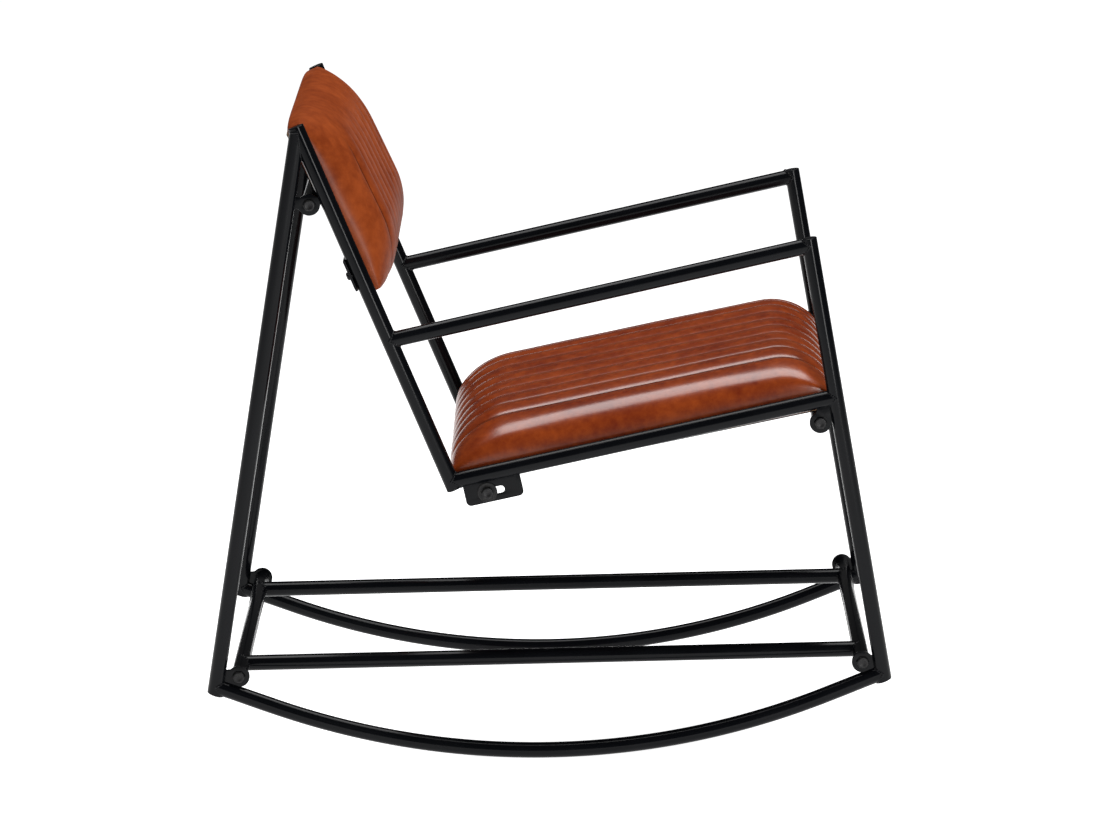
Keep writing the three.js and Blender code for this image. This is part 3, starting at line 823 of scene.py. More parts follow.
@dataclass(frozen=True)
class WaxedLeather(Finish):
    """Cow hide, dyed cognac, waxed and polished by hand.

    It gives a colour that is pale where the leather is stretched and painted dark as shade in its folds and
    seams, with a fine pebbled grain under a soft gloss.
    """

    name: str = "waxed_cognac_leather"
    slot: str = "cognac_leather"
    stretched: str = "#8e3c12"
    body: str = "#6a2308"
    # Painted shade: the dark colour laid into the seams and onto the hem tucked under the pad
    folded: str = "#2c0a03"
    roughness: float = 0.55
    gloss: float = 0.0
    wax: float = 1.0
    wax_roughness: float = 0.24
    hide_mm: float = 85.0
    mottle_mm: float = 14.0
    grain_mm: float = 1.3
    grain_depth: float = 0.00009
    crease_mm: float = 26.0
    crease_depth: float = 0.0001

    def dress(self, tree: bpy.types.NodeTree, shader: bpy.types.Node, place: bpy.types.NodeSocket) -> None:
        """Mottled dye, with shade painted into the seams and the tucked hem, over pebbled grain and soft
        creases.

        Args:
            tree: The material's node tree.
            shader: The shader.
            place: The place on the object.
        """
        hide = add_node(tree, "TexNoise", {"Vector": place, "Scale": per_mm(self.hide_mm),
                                           "Detail": 4.0, "Roughness": 0.6})
        mottle = add_node(tree, "TexNoise", {"Vector": place, "Scale": per_mm(self.mottle_mm),
                                             "Detail": 5.0, "Roughness": 0.65})
        blend = add_node(tree, "Math", {0: hide.outputs["Fac"], 1: mottle.outputs["Fac"]})
        share = add_node(tree, "MapRange", {"Value": blend.outputs[0], "From Min": 0.75,
                                            "From Max": 1.25})
        dye = add_node(tree, "Mix", {"Factor": share.outputs["Result"], 6: linear(self.body),
                                     7: linear(self.stretched)}, data_type="RGBA")
        # Painted shade: the dye turns to the dark folded colour in the seams and on the tucked hem
        valley = add_node(tree, "Attribute", attribute_name=PAINTED_SHADE_AND_WAX)
        colour = add_node(tree, "Mix", {"Factor": valley.outputs["Fac"], 6: dye.outputs[2],
                                        7: linear(self.folded)}, data_type="RGBA")
        grain = add_node(tree, "TexVoronoi", {"Vector": place, "Scale": per_mm(self.grain_mm)},
                         feature="SMOOTH_F1")
        crease = add_node(tree, "TexNoise", {"Vector": place, "Scale": per_mm(self.crease_mm),
                                             "Detail": 3.0, "Distortion": 0.6})
        soft = add_node(tree, "Bump", {"Height": crease.outputs["Fac"], "Distance": self.crease_depth})
        bump = add_node(tree, "Bump", {"Height": grain.outputs["Distance"], "Strength": 0.5,
                                       "Distance": self.grain_depth, "Normal": soft.outputs["Normal"]})
        rough = add_node(tree, "MapRange", {"Value": mottle.outputs["Fac"], "From Min": 0.3,
                                            "From Max": 0.7, "To Min": self.roughness - 0.05,
                                            "To Max": self.roughness + 0.07})
        wax = add_node(tree, "MapRange", {"Value": valley.outputs["Fac"], "From Min": 0.6,
                                          "To Min": self.wax, "To Max": 0.0})
        set_inputs(shader, {"IOR": 1.45, "Specular IOR Level": self.gloss,
                            "Coat Roughness": self.wax_roughness, "Coat Weight": wax.outputs["Result"],
                            "Base Color": colour.outputs[2], "Roughness": rough.outputs["Result"],
                            "Normal": bump.outputs["Normal"], "Coat Normal": soft.outputs["Normal"]})


@dataclass(frozen=True)
class Plywood(Finish):
    """Birch plywood, peeled and glued in layers.

    It gives pale wood with long grain on its faces and dark glue lines on its edges.
    """

    name: str = "birch_plywood"
    slot: str = "plywood"
    light: str = "#c9a878"
    dark: str = "#9c7747"
    grain_mm: float = 5.0

    def dress(self, tree: bpy.types.NodeTree, shader: bpy.types.Node, place: bpy.types.NodeSocket) -> None:
        """Long wavering grain.

        Args:
            tree: The material's node tree.
            shader: The shader.
            place: The place on the object.
        """
        stretch = add_node(tree, "Mapping", {"Vector": place, "Scale": (0.08, 1.0, 1.0)})
        grain = add_node(tree, "TexNoise", {"Vector": stretch.outputs["Vector"],
                                            "Scale": per_mm(self.grain_mm), "Detail": 4.0,
                                            "Distortion": 0.4})
        colour = add_node(tree, "Mix", {"Factor": grain.outputs["Fac"], 6: linear(self.light),
                                        7: linear(self.dark)}, data_type="RGBA")
        set_inputs(shader, {"Roughness": 0.62, "Base Color": colour.outputs[2]})


@dataclass(frozen=True)
class Cambric(Finish):
    """Black cambric, woven cotton that is calendered flat.

    It gives a dull black with the faint crossing of its threads. Its waves repeat every 2 pi / 20
    of their size, which draws a thread every 1.7 mm. That is several times as coarse as real
    cloth, so that it shows.
    """

    name: str = "woven_cambric"
    slot: str = "lining_cloth"
    colour: str = "#17171a"
    light: str = "#2c2c30"
    wave_mm: float = 5.4
    thread_depth: float = 0.0002

    def dress(self, tree: bpy.types.NodeTree, shader: bpy.types.Node, place: bpy.types.NodeSocket) -> None:
        """Two crossing sets of thread.

        Args:
            tree: The material's node tree.
            shader: The shader.
            place: The place on the object.
        """
        scale = per_mm(self.wave_mm)
        warp, weft = (add_node(tree, "TexWave", {"Vector": place, "Scale": scale}, bands_direction=axis)
                      for axis in "XY")
        weave = add_node(tree, "Math", {0: warp.outputs["Fac"], 1: weft.outputs["Fac"]},
                         operation="MULTIPLY")
        colour = add_node(tree, "Mix", {"Factor": weave.outputs[0], 6: linear(self.colour),
                                        7: linear(self.light)}, data_type="RGBA")
        bump = add_node(tree, "Bump", {"Height": weave.outputs[0], "Distance": self.thread_depth})
        set_inputs(shader, {"Roughness": 0.9, "Specular IOR Level": 0.2,
                            "Base Color": colour.outputs[2], "Normal": bump.outputs["Normal"]})


COAT = PowderCoat()
ZINC = BlackZinc()
SEAT_LEATHER = WaxedLeather()
BACK_LEATHER = WaxedLeather(name="brushed_cognac_leather", stretched="#90421c", body="#722e10",
                            wax=0.3, wax_roughness=0.35)
PLYWOOD = Plywood()
CAMBRIC = Cambric()


# Pieces


def add_object(name: str, data: bpy.types.ID) -> bpy.types.Object:
    """Puts an object into the scene.

    Args:
        name: The object's name.
        data: Its mesh, lamp or lens.

    Returns:
        The object.
    """
    added = bpy.data.objects.new(name, data)
    bpy.context.scene.collection.objects.link(added)
    return added


def settle(piece: bpy.types.Object, finish: Finish, nodes: Sequence[str] = ()) -> None:
    """Gives a piece its finish and its place in the chair, and reports it.

    Args:
        piece: The piece, in place.
        finish: Its finish.
        nodes: The solids that it stands for.
    """
    piece.data.materials.clear()
    piece.data.materials.append(finish.material())
    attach(piece, BODY)
    if nodes:
        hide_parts(*nodes)
    LOG.info("%s: %d faces, %s", piece.name, len(piece.data.polygons), finish.name)


SHARP_ANGLE = math.radians(38)
WELD_DISTANCE = 0.000002


def tidy_mesh(mesh: bpy.types.Mesh) -> None:
    """Joins doubled points, turns the faces out, and shades all but the hard edges smooth.

    Args:
        mesh: The mesh to tidy.
    """
    work = bmesh.new()
    work.from_mesh(mesh)
    bmesh.ops.remove_doubles(work, verts=work.verts, dist=WELD_DISTANCE)
    bmesh.ops.recalc_face_normals(work, faces=work.faces)
    work.to_mesh(mesh)
    work.free()
    mesh.shade_smooth()
    mesh.set_sharp_from_angle(angle=SHARP_ANGLE)


def place_mesh(mesh: bpy.types.Mesh, finish: Finish, name: str) -> None:
    """Makes a piece of a mesh, in place of the solid of a name where there is one."""
    settle(add_object(mesh.name, mesh), finish, [name] if name in frame["nodes"] else [])


def make_piece(name: str, surface: Surface, finish: Finish) -> None:
    """Makes a piece of a surface, in place of the solid of its name where there is one.

    Args:
        name: The piece's name.
        surface: Its surface, in place.
        finish: Its finish.
    """
    mesh = surface.mesh(name)
    tidy_mesh(mesh)
    place_mesh(mesh, finish, name)


@dataclass(frozen=True)
class Plate:
    """A flat piece cut from sheet steel, with its edges broken.

    The outline and the holes are loops in the plate's own plane, which the matrix puts in place.
    """

    outline: Sequence[tuple[float, float]]
    holes: Sequence[Sequence[tuple[float, float]]]
    thickness: float
    matrix: Matrix
    rim: float = 0.0005

    def mesh(self, name: str) -> bpy.types.Mesh:
        """The plate's mesh, in place.

        Args:
            name: The mesh's name.

        Returns:
            The mesh.
        """
        curve = bpy.data.curves.new(name, "CURVE")
        curve.dimensions = "2D"
        curve.fill_mode = "BOTH"
        curve.extrude = self.thickness / 2 - self.rim
        curve.bevel_depth = self.rim
        curve.bevel_resolution = 2
        curve.offset = -self.rim
        for loop in (self.outline, *self.holes):
            spline = curve.splines.new("POLY")
            spline.points.add(len(loop) - 1)
            for spot, (x, y) in zip(spline.points, loop):
                spot.co = (x, y, 0, 1)
            spline.use_cyclic_u = True
        source = bpy.data.objects.new(name, curve)
        mesh = bpy.data.meshes.new_from_object(source)
        bpy.data.objects.remove(source)
        bpy.data.curves.remove(curve)
        mesh.transform(self.matrix)
        mesh.name = name
        tidy_mesh(mesh)
        return mesh


def flat(point: Vector) -> tuple[float, float]:
    """A point of the side plane, in a plate's own plane."""
    return point.x, point.z


def side_plane(y: float) -> Matrix:
    """Puts a plate's own plane in a side plane of the chair."""
    turn = Matrix((FORWARD, UP, -SIDEWAYS)).transposed().to_4x4()
    return Matrix.Translation(SIDEWAYS * y) @ turn


def clipped(outline: Sequence[Vector], point: Vector, normal: Vector) -> list[Vector]:
    """The part of an outline on one side of a line.

    Args:
        outline: The outline's points.
        point: A point of the line.
        normal: The direction of the side that stays.

    Returns:
        The points of the part that stays.
    """
    kept = []
    for k, here in enumerate(outline):
        before = outline[k - 1]
        depth = (here - point).dot(normal)
        depth_before = (before - point).dot(normal)
        if depth * depth_before < 0:
            kept.append(before.lerp(here, depth_before / (depth_before - depth)))
        if depth >= 0:
            kept.append(here)
    return kept


@dataclass(frozen=True)
class Lug:
    """An eye round a frame bolt, with webs to the tubes beside it.

    A web is its direction from the bolt, its width and its length.
    """

    bolt: Vector
    webs: Sequence[tuple[Vector, float, float]]
    tubes: Sequence[tuple[Vector, Vector]]
    eye_radius: float = 0.013
    hole_radius: float = 0.0043
    thickness: float = 0.004
    arc_steps: int = 64
    sunk: float = 0.001
    tolerance: float = 0.00001

    def blank(self) -> list[Vector]:
        """The outline of the eye and its webs, before the tubes cut it.

        Returns:
            The outline's points.
        """
        spots = []
        for k in range(self.arc_steps):
            turn = 2 * math.pi * k / self.arc_steps
            ray = side_point(math.cos(turn), math.sin(turn))
            reach = self.eye_radius
            for direction, width, length in self.webs:
                along = ray.dot(direction)
                aside = abs(ray.dot(left_of(direction)))
                if along > 0:
                    reach = max(reach, min(length / along, width / 2 / max(aside, TINY)))
            spots.append(self.bolt + ray * reach)
        return spots

    def outline(self) -> list[Vector]:
        """The lug's outline, up to the walls of its tubes.

        Returns:
            The outline's points.
        """
        shape = self.blank()
        for wall, inward in self.tubes:
            shape = clipped(shape, wall - inward * self.sunk, inward)
        return shape

    def hole(self) -> list[tuple[float, float]]:
        """The loop of the bolt hole."""
        return [flat(p) for p in circle(self.bolt, self.hole_radius, FORWARD, UP, self.arc_steps)]

    def mesh(self, name: str, y: float) -> bpy.types.Mesh:
        """The lug's mesh in a side plane."""
        return Plate([flat(p) for p in self.outline()], [self.hole()], self.thickness,
                     side_plane(y)).mesh(name)

    def welds(self, bead: WeldBead, y: float) -> Surface:
        """The beads where the lug's two faces meet its tubes.

        Args:
            bead: The kind of bead.
            y: The lug's side plane.

        Returns:
            The beads' closed surfaces.
        """
        welded = Surface()
        shape = self.outline()
        for wall, inward in self.tubes:
            line = left_of(inward)
            touching = [p for p in shape if abs((p - wall).dot(inward) + self.sunk) < self.tolerance]
            if len(touching) < 2:
                continue
            places = sorted((p - wall).dot(line) for p in touching)
            for sign in (-1, 1):
                lift = SIDEWAYS * (y + sign * self.thickness / 2)
                ends = [wall + line * place + lift for place in (places[0], places[-1])]
                outward = inward + SIDEWAYS * sign
                welded.join(bead.surface(ends, [outward, outward], False))
        return welded


@dataclass
class SideFrame:
    """One welded side frame: six tubes, five lugs and the beads that join them."""

    plan: FramePlan
    side: Side
    bead: WeldBead = WeldBead()
    lug_bead: WeldBead = WeldBead(radius=0.0013, ripple=0.0016, ripple_depth=0.00012)
    rocker_steps: int = 96
    rocker_stop_share: float = 1.2
    straight_end: float = 0.07
    top_strip: float = 0.014
    top_tab: float = 0.01
    web_rays: int = 13
    web_spread_share: float = 0.5
    web_width_share: float = 1.45
    bracket_length: float = 0.07
    bracket_setback: float = 0.012
    bracket_drop: float = 0.035
    bracket_corner: float = 0.006
    corner_steps: int = 8
    slot_length: float = 0.03
    slot_width: float = 0.009
    slot_shift: float = 0.006
    slot_steps: int = 12

    @property
    def y(self) -> float:
        """The frame's middle plane."""
        return self.side.value * self.plan.spacing / 2

    def name(self, piece: str) -> str:
        """A piece's name on this side."""
        return f"{self.side.word}_{piece}"

    def end_down(self, sign: int) -> Vector:
        """Direction down from a rocker's straight end.

        Args:
            sign: -1 for the rear end, 1 for the front one.

        Returns:
            The direction, square to the end.
        """
        plan = self.plan
        corner = plan.front_corner_reach if sign > 0 else plan.rear_corner_reach
        turn = math.asin((corner - self.straight_end) / plan.rocker_radius) * sign
        return leaning(180 - math.degrees(turn))

    def foot(self, corner: Vector, sign: int) -> Cut:
        """The cut that closes a leg, in line with the rocker's lower side."""
        down = self.end_down(sign)
        return Cut(corner + down * (self.plan.radius + self.plan.foot_past_rocker) + SIDEWAYS * self.y, down)

    def tubes(self) -> dict[str, Tube]:
        """The straight tubes of the frame.

        Returns:
            The tubes by name.
        """
        plan = self.plan
        post = plan.post.shifted(self.y)
        front = plan.front_leg.shifted(self.y)
        on_post = Cope(post, plan.radius)
        on_front = Cope(front, plan.radius)
        return {
            "post": Tube(post, plan.radius, Cut(post.start, plan.post_up), Cut(post.end, plan.post_up)),
            "back_leg": Tube(plan.back_leg.shifted(self.y), plan.radius,
                             self.foot(plan.rear_corner, -1), on_post),
            "front_leg": Tube(front, plan.radius, self.foot(plan.front_corner, 1),
                              Cut(front.end, plan.front_leg_up)),
            "arm": Tube(plan.arm.shifted(self.y), plan.radius, on_post, on_front),
            "seat_rail": Tube(plan.seat_rail.shifted(self.y), plan.radius, on_post, on_front),
        }

    @property
    def arc_centre(self) -> Vector:
        """Centre of the bent rocker's arc, which touches the floor at its lowest point."""
        return side_point(self.plan.origin_x, self.plan.rocker_radius + self.plan.radius)

    def rocker_ring(self, turn: float) -> list[Vector]:
        """The rocker's section, which lies further out where the ends run straight.

        Args:
            turn: The turn from the rocker's lowest point, to the front.

        Returns:
            The section's points.
        """
        plan = self.plan
        corner = plan.front_corner_reach if turn > 0 else plan.rear_corner_reach
        past = max(0.0, plan.rocker_radius * abs(math.sin(turn)) - corner + self.straight_end)
        radius = plan.rocker_radius + past * past / (2 * plan.rocker_radius)
        down = leaning(180 - math.degrees(turn))
        middle = self.arc_centre + down * radius + SIDEWAYS * self.y
        return circle(middle, plan.radius, SIDEWAYS, down, TUBE_SIDES)

    def rocker(self) -> tuple[Surface, Surface]:
        """The rocker, bent between its straight ends.

        Returns:
            The rocker's surface, and the beads at its ends.
        """
        plan = self.plan
        stop = plan.tube * self.rocker_stop_share
        rear = math.asin((stop - plan.rear_corner_reach) / plan.rocker_radius)
        front = math.asin((plan.front_corner_reach - stop) / plan.rocker_radius)
        turns = [rear + (front - rear) * k / self.rocker_steps for k in range(self.rocker_steps + 1)]
        beads = Surface()
        ends = []
        for turn, leg, sign in ((rear, plan.back_leg, -1), (front, plan.front_leg, 1)):
            end = Cope(leg.shifted(self.y), plan.radius)
            tangent = left_of(self.end_down(sign)) * sign
            section = self.rocker_ring(turn)
            middle = sum(section, Vector()) / TUBE_SIDES
            ring = [end.reach(point, tangent) for point in section]
            outward = [(point - middle).normalized() + end.outward(spot)
                       for point, spot in zip(section, ring)]
            beads.join(self.bead.surface(ring, outward, True))
            ends.append((ring, end.reach(middle, tangent)))
        rings = [ends[0][0], *(self.rocker_ring(turn) for turn in turns), ends[1][0]]
        return Surface().loft(rings, start_cap=ends[0][1], end_cap=ends[1][1]), beads

    def wall(self, axis: Axis, inward: Vector) -> tuple[Vector, Vector]:
        """A tube's wall, as the lug beside it meets it."""
        return axis.start + inward * self.wall_depth, inward

    @property
    def wall_depth(self) -> float:
        """From a tube's axis to where a lug's face meets its wall."""
        return math.sqrt(self.plan.radius ** 2 - (self.plan.lug_thickness / 2) ** 2)

    def corner_lug(self, bolt: Vector, corner: Vector, walls: Sequence[tuple[Vector, Vector]]) -> Lug:
        """A lug in the corner of two tubes, narrowing from the eye to the corner.

        Args:
            bolt: The bolt's axis.
            corner: Where the tubes' axes meet.
            walls: A point on each tube's wall, with the direction away from the tube.

        Returns:
            The lug.
        """
        toward = corner - bolt
        spread = math.asin(Lug.eye_radius / toward.length)
        webs = []
        for k in range(self.web_rays):
            share = k / ((self.web_rays - 1) / 2) - 1
            lean = share * spread * self.web_spread_share
            turned = Matrix.Rotation(lean, 3, SIDEWAYS) @ toward.normalized()
            webs.append((turned, Lug.eye_radius * self.web_width_share, toward.length))
        return Lug(bolt, webs, walls)

    def lugs(self) -> dict[str, Lug]:
        """The lugs of the frame.

        Returns:
            The lugs by name.
        """
        plan = self.plan
        rail_low = self.wall(plan.seat_rail, right_of(plan.seat_rail.direction))
        leg_rear = self.wall(plan.front_leg, left_of(plan.front_leg_up))
        back_front = self.wall(plan.back_leg, right_of(plan.back_leg_up))
        post_rear = self.wall(plan.post, left_of(plan.post_up))
        lugs = {
            "top_lug": Lug(plan.top_bolt, [
                (left_of(plan.back_leg_up), self.top_strip, plan.set_off(plan.top_bar_to_leg)),
                (plan.post_front, self.top_tab, plan.set_off(plan.top_bar_to_post))],
                [back_front, post_rear]),
            "seat_front_lug": self.corner_lug(plan.seat_front_bolt, plan.seat_rail.end,
                                              [rail_low, leg_rear]),
        }
        for name, bolt, corner, leg, sign in (
                ("low_rear_lug", plan.low_rear_bolt, plan.rear_corner, back_front, -1),
                ("low_front_lug", plan.low_front_bolt, plan.front_corner, leg_rear, 1)):
            down = self.end_down(sign)
            on_rocker = self.arc_centre + down * (plan.rocker_radius - self.wall_depth)
            lugs[name] = self.corner_lug(bolt, corner, [leg, (on_rocker, -down)])
        return lugs

    def bracket(self) -> tuple[bpy.types.Mesh, Surface]:
        """The slotted bracket under the rear of the seat rail.

        Returns:
            The bracket's mesh, and its beads.
        """
        plan = self.plan
        forward = plan.seat_rail.direction
        low = right_of(forward)
        depth = self.wall_depth
        corner = plan.seat_rail.start + forward * self.bracket_setback

        def spot(along: float, down: float) -> Vector:
            """A point of the bracket, from its upper rear corner on the rail's axis."""
            return corner + forward * along + low * down

        inset = self.bracket_corner
        quarter = [k * math.pi / (2 * self.corner_steps) for k in range(self.corner_steps + 1)]
        ends = ((self.bracket_length - inset, 0.0), (inset, math.pi / 2))
        rounded = [spot(along, self.bracket_drop - inset)
                   + (forward * math.cos(start + turn) + low * math.sin(start + turn)) * inset
                   for along, start in ends for turn in quarter]
        top = depth - Lug.sunk
        outline = [spot(0, top), spot(self.bracket_length, top), *rounded]
        half = (self.slot_length - self.slot_width) / 2
        middle = plan.seat_rear_bolt + forward * self.slot_shift
        turns = [math.pi * k / self.slot_steps for k in range(self.slot_steps + 1)]
        slot = [middle + forward * half * sign
                + (low * math.cos(turn) * sign + forward * math.sin(turn) * sign) * (self.slot_width / 2)
                for sign in (1, -1) for turn in turns]
        mesh = Plate([flat(p) for p in outline], [[flat(p) for p in slot]], plan.lug_thickness,
                     side_plane(self.y)).mesh(self.name("slotted_bracket"))
        beads = Surface()
        for sign in (-1, 1):
            lift = SIDEWAYS * (self.y + sign * plan.lug_thickness / 2)
            line = [spot(along, depth) + lift for along in (0.0, self.bracket_length)]
            outward = low + SIDEWAYS * sign
            beads.join(self.lug_bead.surface(line, [outward, outward], False))
        return mesh, beads

    def build(self) -> None:
        """Makes the frame's pieces."""
        beads = Surface()
        for name, tube in self.tubes().items():
            make_piece(self.name(name), tube.surface(), COAT)
            for end, outward in ((tube.first, -tube.axis.direction), (tube.last, tube.axis.direction)):
                if isinstance(end, Cope):
                    beads.join(self.bead.round_end(tube, end, outward))
        rocker, rocker_beads = self.rocker()
        make_piece(self.name("rocker"), rocker, COAT)
        beads.join(rocker_beads)
        for name, lug in self.lugs().items():
            place_mesh(lug.mesh(self.name(name), self.y), COAT, self.name(name))
            beads.join(lug.welds(self.lug_bead, self.y))
        bracket, bracket_beads = self.bracket()
        place_mesh(bracket, COAT, self.name("slotted_bracket"))
        beads.join(bracket_beads)
        make_piece(self.name("frame_welds"), beads, COAT)


# Fixings


def polygon_radius(flats: float, sides: int, turn: float) -> float:
    """Distance to the edge of a regular polygon, from its middle along a turn."""
    sector = 2 * math.pi / sides
    return flats / 2 / math.cos((turn % sector) - sector / 2)


@dataclass(frozen=True)
class Turning:
    """A piece made in rings round +Z, where a ring may be a circle or a hexagon.

    Each step is a height, a radius or the width over the flats, and whether it is a hexagon.
    """

    steps: Sequence[tuple[float, float, bool]]
    closed_top: bool = True
    closed_bottom: bool = True
    sides: int = 72

    def surface(self) -> Surface:
        """The wall through the steps, with the caps that it has.

        Returns:
            The turned surface.
        """
        rings = []
        for height, size, hexagonal in self.steps:
            ring = []
            for k in range(self.sides):
                turn = 2 * math.pi * k / self.sides
                radius = polygon_radius(size, 6, turn) if hexagonal else size
                ring.append(Vector((radius * math.cos(turn), radius * math.sin(turn), height)))
            rings.append(ring)
        low = Vector((0, 0, self.steps[0][0])) if self.closed_bottom else None
        high = Vector((0, 0, self.steps[-1][0])) if self.closed_top else None
        return Surface().loft(rings, start_cap=low, end_cap=high)


@dataclass(frozen=True)
class FrameBolt:
    """A hexagon bolt, drawn with its head from z = 0 up."""

    shank: float = 0.008
    length: float = 0.02
    flats: float = 0.013
    height: float = 0.0053
    chamfer: float = 0.0009
    washer_face: float = 0.0004
    thread_pitch: float = 0.00125
    thread_depth_share: float = 0.5
    face_share: float = 0.97
    shoulder_share: float = 0.35
    top_share: float = 0.93
    dish_shares: tuple[float, float] = (0.62, 0.55)
    dish_depth: float = 0.0003

    def surface(self) -> Surface:
        """Head with a chamfered top and a washer face, and a shank with its thread as grooves.

        Returns:
            The bolt's closed surface.
        """
        shank = self.shank / 2
        groove = shank - self.thread_pitch * self.thread_depth_share
        steps = [(-self.length, groove, False)]
        turns = int((self.length - self.shank) / self.thread_pitch)
        for k in range(turns):
            base = -self.length + k * self.thread_pitch
            steps.append((base + self.thread_pitch / 2, shank, False))
            steps.append((base + self.thread_pitch, groove, False))
        corner = self.flats / 2
        face = corner * self.face_share
        rim, floor = (corner * share for share in self.dish_shares)
        steps += [(-self.length + turns * self.thread_pitch + self.chamfer, shank, False),
                  (0.0, shank, False), (0.0, face, False), (self.washer_face, face, False),
                  (self.washer_face, self.flats, True), (self.height - self.chamfer, self.flats, True),
                  (self.height - self.chamfer * self.shoulder_share, corner, False),
                  (self.height, corner * self.top_share, False), (self.height, rim, False),
                  (self.height - self.dish_depth, floor, False)]
        return Turning(steps).surface()


@dataclass(frozen=True)
class Washer:
    """A plain washer, punched, with its edges rolled over."""

    outer: float = 0.024
    inner: float = 0.0086
    thickness: float = 0.0016
    rim: float = 0.0004

    def surface(self) -> Surface:
        """The ring, from z = 0 up.

        Returns:
            The closed surface.
        """
        out, into, rim, top = self.outer / 2, self.inner / 2, self.rim, self.thickness
        steps = [(0, into, False), (0, out - rim, False), (rim, out, False), (top - rim, out, False),
                 (top, out - rim, False), (top, into + rim, False), (top - rim, into, False)]
        rings = Turning(steps, False, False)
        ring_surface = rings.surface()
        count = rings.sides
        last = len(steps) - 1
        ring_surface.faces.extend(
            (last * count + k, last * count + (k + 1) % count, (k + 1) % count, k) for k in range(count))
        return ring_surface


@dataclass(frozen=True)
class PanScrew:
    """A pan-head screw with a hexagon socket, drawn with its bearing at z = 0 and its shank up."""

    shank: float = 0.005
    head: float = 0.01
    head_height: float = 0.003
    socket_flats: float = 0.004
    socket_depth: float = 0.0016
    socket_floor_share: float = 0.98
    socket_mouth_share: float = 1.1
    edge: float = 0.0002
    dome_shares: tuple[tuple[float, float], ...] = ((1.0, 0.6), (0.9, 0.8), (0.6, 0.96), (0.3, 1.0))
    bearing_share: float = 0.97
    point_share: float = 0.125

    def surface(self, reach: float) -> Surface:
        """The screw, with its dome as shares of the head's height and radius.

        Args:
            reach: The shank's length.

        Returns:
            The screw's closed surface.
        """
        out, low = self.head / 2, -self.head_height
        shank = self.shank / 2
        steps = [(low + self.socket_depth, self.socket_flats * self.socket_floor_share, True),
                 (low + self.edge, self.socket_flats, True),
                 (low, self.socket_flats * self.socket_mouth_share, True),
                 *((low * rise, out * width, False) for rise, width in self.dome_shares),
                 (-self.edge, out, False), (0.0, out * self.bearing_share, False),
                 (0.0, shank, False), (reach - shank, shank, False),
                 (reach, self.shank * self.point_share, False)]
        return Turning(steps).surface()


def facing(origin: Vector, direction: Vector, across: Vector) -> Matrix:
    """Turns a piece that is drawn along +Z to a direction, and puts it at a point."""
    side = across.cross(direction).normalized()
    return Matrix.Translation(origin) @ Matrix(
        (side, direction.cross(side), direction)).transposed().to_4x4()


